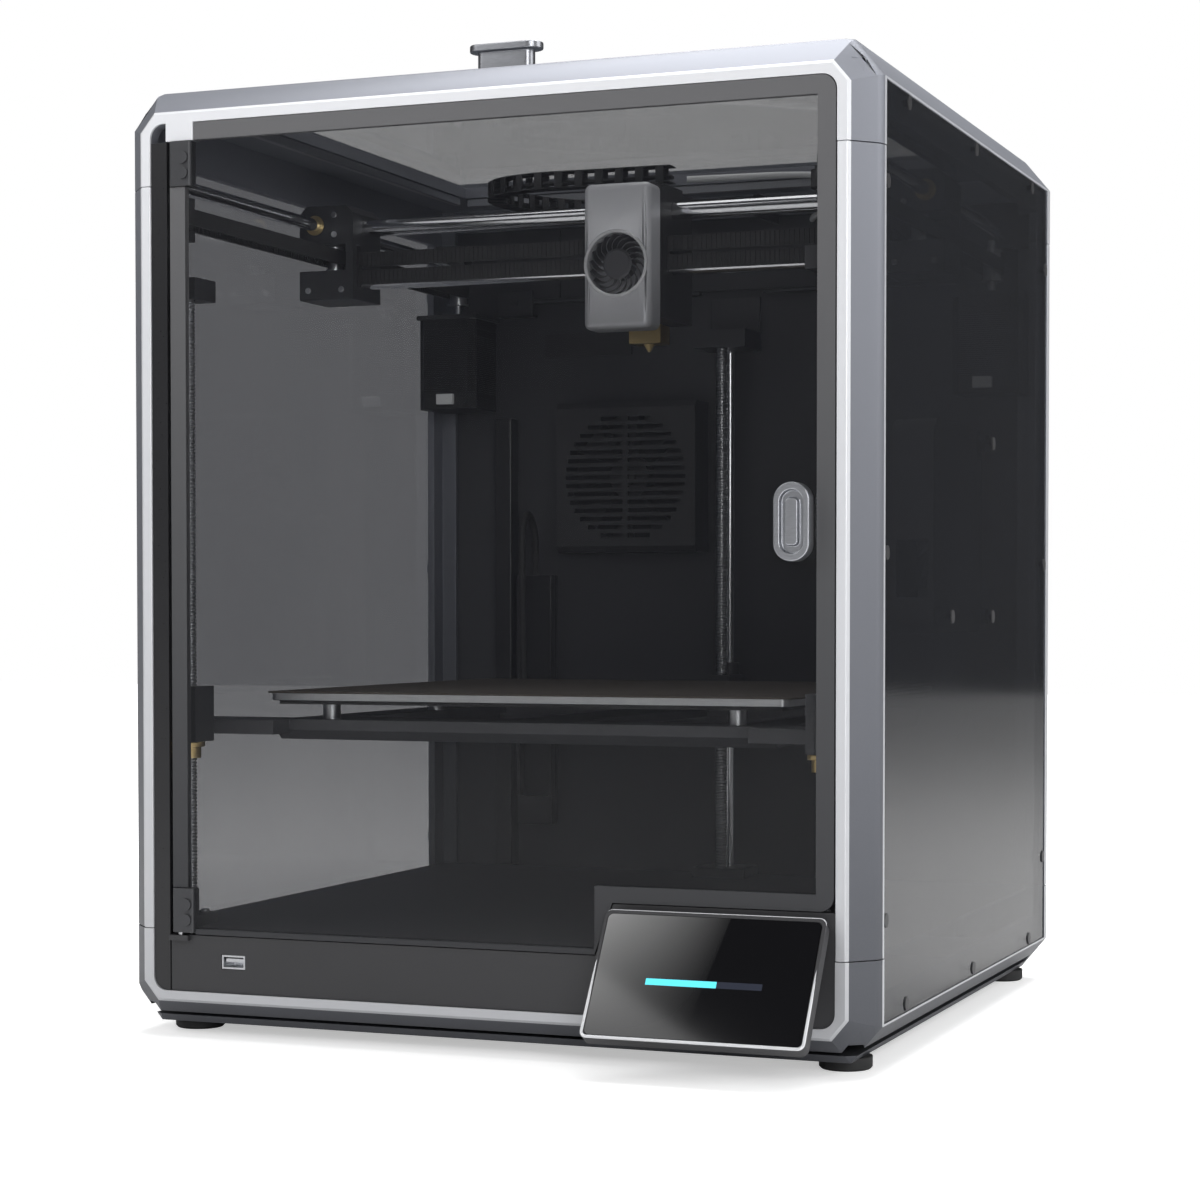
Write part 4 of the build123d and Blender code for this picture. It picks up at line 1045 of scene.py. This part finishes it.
class InnerSheets(bpy.types.Operator):
    """Folded sheets, ducts and channels on the chamber walls"""

    bl_idname = "printer.inner_sheets"
    bl_label = "Inner sheets"

    def execute(self, context):
        ride_with(piece_from("rear_shelf", self.shelf, "powder", False), "rear_panel")
        ride_with(piece_from("rear_rails", self.rails, "silver", False), "top_frame")
        ride_with(piece_from("wire_ducts", self.ducts, "strip", False), "rear_panel")
        ride_with(piece_from("belt_tensioner", self.tensioner, "frame", False), "y_rod_mounts")
        ride_with(piece_from("filter_mat", self.backing, "black", False), "rear_panel")
        ride_with(piece_from("display_rim", self.rim, "bright"), "display_housing")
        return {"FINISHED"}

    def shelf(self, shape):
        """A stepped sheet across the top of the rear wall."""
        add_box(shape, at(-160, 408.2, 452), at(160, 409.7, 500), 0.3 * MM)
        add_box(shape, at(-160, 402, 449), at(-16, 409.7, 451), 0.3 * MM)
        add_box(shape, at(28, 402, 449), at(160, 409.7, 451), 0.3 * MM)
        for x in (-120, -72, 72, 120):
            add_box(shape, at(x - 1, 406.5, 452), at(x + 1, 408.2, 498), 0.2 * MM)

    def rails(self, shape):
        """Bright slide rails below the lid opening."""
        add_box(shape, at(-166, 356.2, 509.5), at(166, 360.5, 514.6), 0.5 * MM)
        add_box(shape, at(-172.5, 40, 509.5), at(-168, 350, 514.6), 0.5 * MM)
        add_box(shape, at(168, 40, 509.5), at(172.5, 350, 514.6), 0.5 * MM)

    def ducts(self, shape):
        """The wire duct in the rear left corner and the bed cable's channel."""
        add_box(shape, at(-164, 398, 62), at(-152, 411.5, 370), 0.8 * MM)
        add_box(shape, at(-149, 401, 90), at(-123, 411.5, 110), 0.8 * MM)
        add_box(shape, at(-149, 408, 110), at(-123, 411.5, 262), 0.5 * MM)
        add_box(shape, at(-149, 400, 110), at(-146.5, 408, 262), 0.4 * MM)
        add_box(shape, at(-125.5, 400, 110), at(-123, 408, 262), 0.4 * MM)

    def backing(self, shape):
        """The filter mat behind the fan, and the nut plate behind the spool holder's holes."""
        add_box(shape, at(-108, 411.0, 281), at(-18, 411.8, 374), 0.2 * MM)
        add_box(shape, at(-132, 410.6, 412), at(-68, 411.8, 428), 0.2 * MM)
        add_box(shape, at(-152, 410.8, 16.5), at(-58, 411.8, 60), 0.2 * MM)

    def rim(self, shape):
        """The bright rim round the display's tilted face."""
        low, high = (Vector(corner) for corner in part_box("display_housing"))
        foot = Vector((0, low.y, low.z + DISPLAY_THICKNESS * math.sin(DISPLAY_TILT)))
        head = Vector((0, high.y - DISPLAY_THICKNESS * math.cos(DISPLAY_TILT), high.z))
        up = (head - foot).normalized()
        inset = 0.9 * MM
        corner = 3 * MM
        left, right = (low.x + inset + corner, high.x - inset - corner)
        lower, upper = (inset + corner, (head - foot).length - inset - corner)
        centres = ((right, lower, 270), (right, upper, 0), (left, upper, 90), (left, lower, 180))
        line = []
        for x, run, start in centres:
            for step in range(7):
                turn = math.radians(start + 15 * step)
                place = foot + up * (run + corner * math.sin(turn))
                line.append(Vector((x + corner * math.cos(turn), place.y, place.z)))
        add_tube(shape, line + line[:1], 0.85 * MM, 12)

    def tensioner(self, shape):
        """The slotted plate that tightens the left belt."""
        add_box(shape, at(-162, 398, 439.4), at(-136, 400.5, 457), 0.5 * MM)
        add_box(shape, at(-162, 398, 439.2), at(-136, 407.2, 441), 0.4 * MM)
        add_turning(shape, at(-149, 398.2, 449), (0, -1, 0), disc(2.6 * MM, 1.8 * MM, 0.4 * MM), 24)


class SmallFittings(bpy.types.Operator):
    """Bushes, screw heads and plugs on the moving parts"""

    bl_idname = "printer.small_fittings"
    bl_label = "Small fittings"

    def execute(self, context):
        ride_with(piece_from("carriage_bushes", self.bushes, "brass"), "gantry_carriages")
        ride_with(piece_from("carriage_screws", self.carriage_screws, "steel"), "gantry_carriages")
        ride_with(piece_from("block_screws", self.block_screws, "steel"), "z_bearing_blocks")
        ride_with(piece_from("nut_flanges", self.nut_flanges, "brass"), "nut_blocks")
        ride_with(piece_from("motor_plugs", self.motor_plugs, "tube", False), "stepper_motors")
        ride_with(piece_from("head_top", self.head_top, "black", False), "head_body")
        ride_with(piece_from("back_screws", self.back_screws, "steel"), "rear_panel")
        return {"FINISHED"}

    def bushes(self, shape):
        """The bush round each side rod, at the front of its carriage."""
        ring = [(4.1, 0), (5.9, 0), (6.1, 0.3), (6.1, 1.0), (4.1, 1.0), (4.1, 0)]
        outline = [(radius * MM, height * MM) for radius, height in ring]
        for side in (-1, 1):
            add_turning(shape, at(side * 194, 190.1, 476), (0, -1, 0), outline, 32)

    def carriage_screws(self, shape):
        head = disc(1.9 * MM, 1.3 * MM, 0.4 * MM)
        for side in (-1, 1):
            for x, z in ((181, 482), (181, 470), (199, 436), (176, 436)):
                add_turning(shape, at(side * x, 190.2, z), (0, -1, 0), head, 20)

    def block_screws(self, shape):
        head = disc(2.4 * MM, 1.6 * MM, 0.4 * MM)
        for side in (-1, 1):
            for z in (66.9, 422.9):
                for x, depth in ((183, 32), (205, 16)):
                    add_turning(shape, at(side * x, depth, z), (0, 0, 1), head, 20)

    def nut_flanges(self, shape):
        """A flanged nut under each bearing block of the bed."""
        ring = [(4.1, 0), (8.0, 0), (8.4, 0.4), (8.4, 2.6), (6.2, 3), (6.2, 9), (4.1, 9), (4.1, 0)]
        outline = [(radius * MM, -height * MM) for radius, height in ring]
        for x, depth in ((-185.3, 20), (185.3, 20), (6, 384)):
            add_turning(shape, at(x, depth, 163.9), (0, 0, 1), outline, 32)

    def motor_plugs(self, shape):
        for side in (-1, 1):
            add_box(shape, at(side * 186 - 6, 361.8, 378), at(side * 186 + 6, 365.6, 385), 0.4 * MM)

    def head_top(self, shape):
        """The connector bar on the head and the ribs of its air duct."""
        add_box(shape, at(-2, 190, 487.1), at(32, 198, 489.6), 0.5 * MM)
        for x in (0, 10, 20, 30):
            add_box(shape, at(x - 1.2, 184.4, 404), at(x + 1.2, 186.5, 409.6), 0.3 * MM)

    def back_screws(self, shape):
        """A row along the top and the bottom of the rear cover, and one up each side."""
        head = disc(3 * MM, 1.6 * MM, 0.5 * MM)
        places = [(x, z) for x in (-200, -66, 66, 200) for z in (24, 506)]
        places += [(x, z) for z in (150, 265, 380) for x in (-200, 200)]
        for x, z in places:
            add_turning(shape, at(x, 413.9, z), (0, 1, 0), head, 20)


# ------------------------------------------------------------------ stage


class Stage(bpy.types.Operator):
    """A white floor, soft lamps and the camera"""

    bl_idname = "printer.stage"
    bl_label = "Stage"

    def execute(self, context):
        self.floor()
        self.world()
        self.lamp("Key", (-1.9, -2.3, 2.2), 1.9, 30)
        self.lamp("Right", (2.7, 0.3, 1.5), 1.8, 26)
        self.lamp("Top", (0.1, 0.4, 2.2), 1.7, 44)
        self.lamp("Front", (1.5, -2.6, 0.9), 1.2, 30)
        self.camera()
        context.scene.view_settings.view_transform = "Standard"
        return {"FINISHED"}

    def floor(self):
        shape = bmesh.new()
        bmesh.ops.create_grid(shape, x_segments=1, y_segments=1, size=6.0)
        mesh = bpy.data.meshes.new("floor")
        shape.to_mesh(mesh)
        shape.free()
        finish = Finish("White floor")
        seen = self.rays(finish)[0]
        x, y, z = finish.place()
        white = (x * x + y * y).ramp(0.15, 1.1) * 0.55 + 0.45
        finish.dress(base_color=(0.9, 0.9, 0.9), roughness=0.6, specular_ior_level=0.0)
        finish.dress(emission_color=finish.blend(white * seen, (0.0, 0.0, 0.0), (1.0, 1.0, 1.0)))
        finish.dress(emission_strength=1.0)
        mesh.materials.append(finish.material)
        made = bpy.data.objects.new("floor", mesh)
        bpy.context.scene.collection.objects.link(made)

    def rays(self, kit):
        """1 for what the camera sees, and 1 for what metal and glass reflect."""
        camera = kit.node("ShaderNodeLightPath", {}, (), 0)
        return camera, Wire(kit, camera.socket.node.outputs["Is Glossy Ray"])

    def world(self):
        world = bpy.data.worlds.new("Studio")
        world.use_nodes = True
        bpy.context.scene.world = world
        kit = WorldKit(world.node_tree)
        camera, glossy = self.rays(kit)
        kit.plug(kit.surface.inputs["Strength"], camera * 0.6 + 0.4 - glossy * 0.33)
        kit.plug(kit.surface.inputs["Color"], (1.0, 1.0, 1.0))

    def lamp(self, name, place, size, power):
        data = bpy.data.lights.new(name, "AREA")
        data.shape = "SQUARE"
        data.size = size
        data.energy = power
        made = bpy.data.objects.new(name, data)
        made.location = place
        aim = Vector((0, 0, 0.26)) - Vector(place)
        made.rotation_euler = aim.to_track_quat("-Z", "Y").to_euler()
        bpy.context.scene.collection.objects.link(made)

    def camera(self):
        data = bpy.data.cameras.new("Camera")
        data.lens = 79.56
        data.shift_x = -0.0035
        data.shift_y = 0.0743
        turn = math.radians(21.371)
        lift = math.radians(1.691)
        back = Vector((math.sin(turn) * math.cos(lift), -math.cos(turn) * math.cos(lift), math.sin(lift)))
        made = bpy.data.objects.new("Camera", data)
        made.location = (0.5747, FRONT - 1.283, 0.2374)
        made.rotation_euler = (-back).to_track_quat("-Z", "Y").to_euler()
        bpy.context.scene.collection.objects.link(made)
        bpy.context.scene.camera = made


class WorldKit(Finish):
    """The world's node tree, with the same arithmetic as a material's."""

    def __init__(self, tree):
        self.tree = tree
        self.surface = tree.nodes["Background"]


class PrinterPanel(bpy.types.Panel):
    """Lists the pieces that can be made"""

    bl_idname = "PRINTER_PT_pieces"
    bl_label = "Printer"
    bl_space_type = "VIEW_3D"
    bl_region_type = "UI"
    bl_category = "Printer"

    def draw(self, context):
        for settings in (context.scene.printer_casing, context.scene.printer_drive):
            for name in settings.bl_rna.properties.keys():
                if name not in ("rna_type", "name"):
                    self.layout.prop(settings, name)
        for operator in OPERATORS:
            self.layout.operator(operator.bl_idname)


OPERATORS = (
    FinishNodes, EaseEdges, LeadScrews, Belts, CoolingFan, CableCarrier, Cords, CornerPatches,
    InnerSheets, SmallFittings, Stage,
)


def register():
    """Registers the settings, the operators and the panel."""
    for item in (CasingLooks, DriveLooks, *OPERATORS, PrinterPanel):
        bpy.utils.register_class(item)
    bpy.types.Scene.printer_casing = bpy.props.PointerProperty(type=CasingLooks)
    bpy.types.Scene.printer_drive = bpy.props.PointerProperty(type=DriveLooks)


def unregister():
    """Removes what register added."""
    del bpy.types.Scene.printer_casing
    del bpy.types.Scene.printer_drive
    for item in reversed((CasingLooks, DriveLooks, *OPERATORS, PrinterPanel)):
        bpy.utils.unregister_class(item)


def main():
    """Registers the add-on and makes every piece."""
    register()
    for operator in OPERATORS:
        group, name = operator.bl_idname.split(".")
        getattr(getattr(bpy.ops, group), name)()


if __name__ == "__main__":
    main()
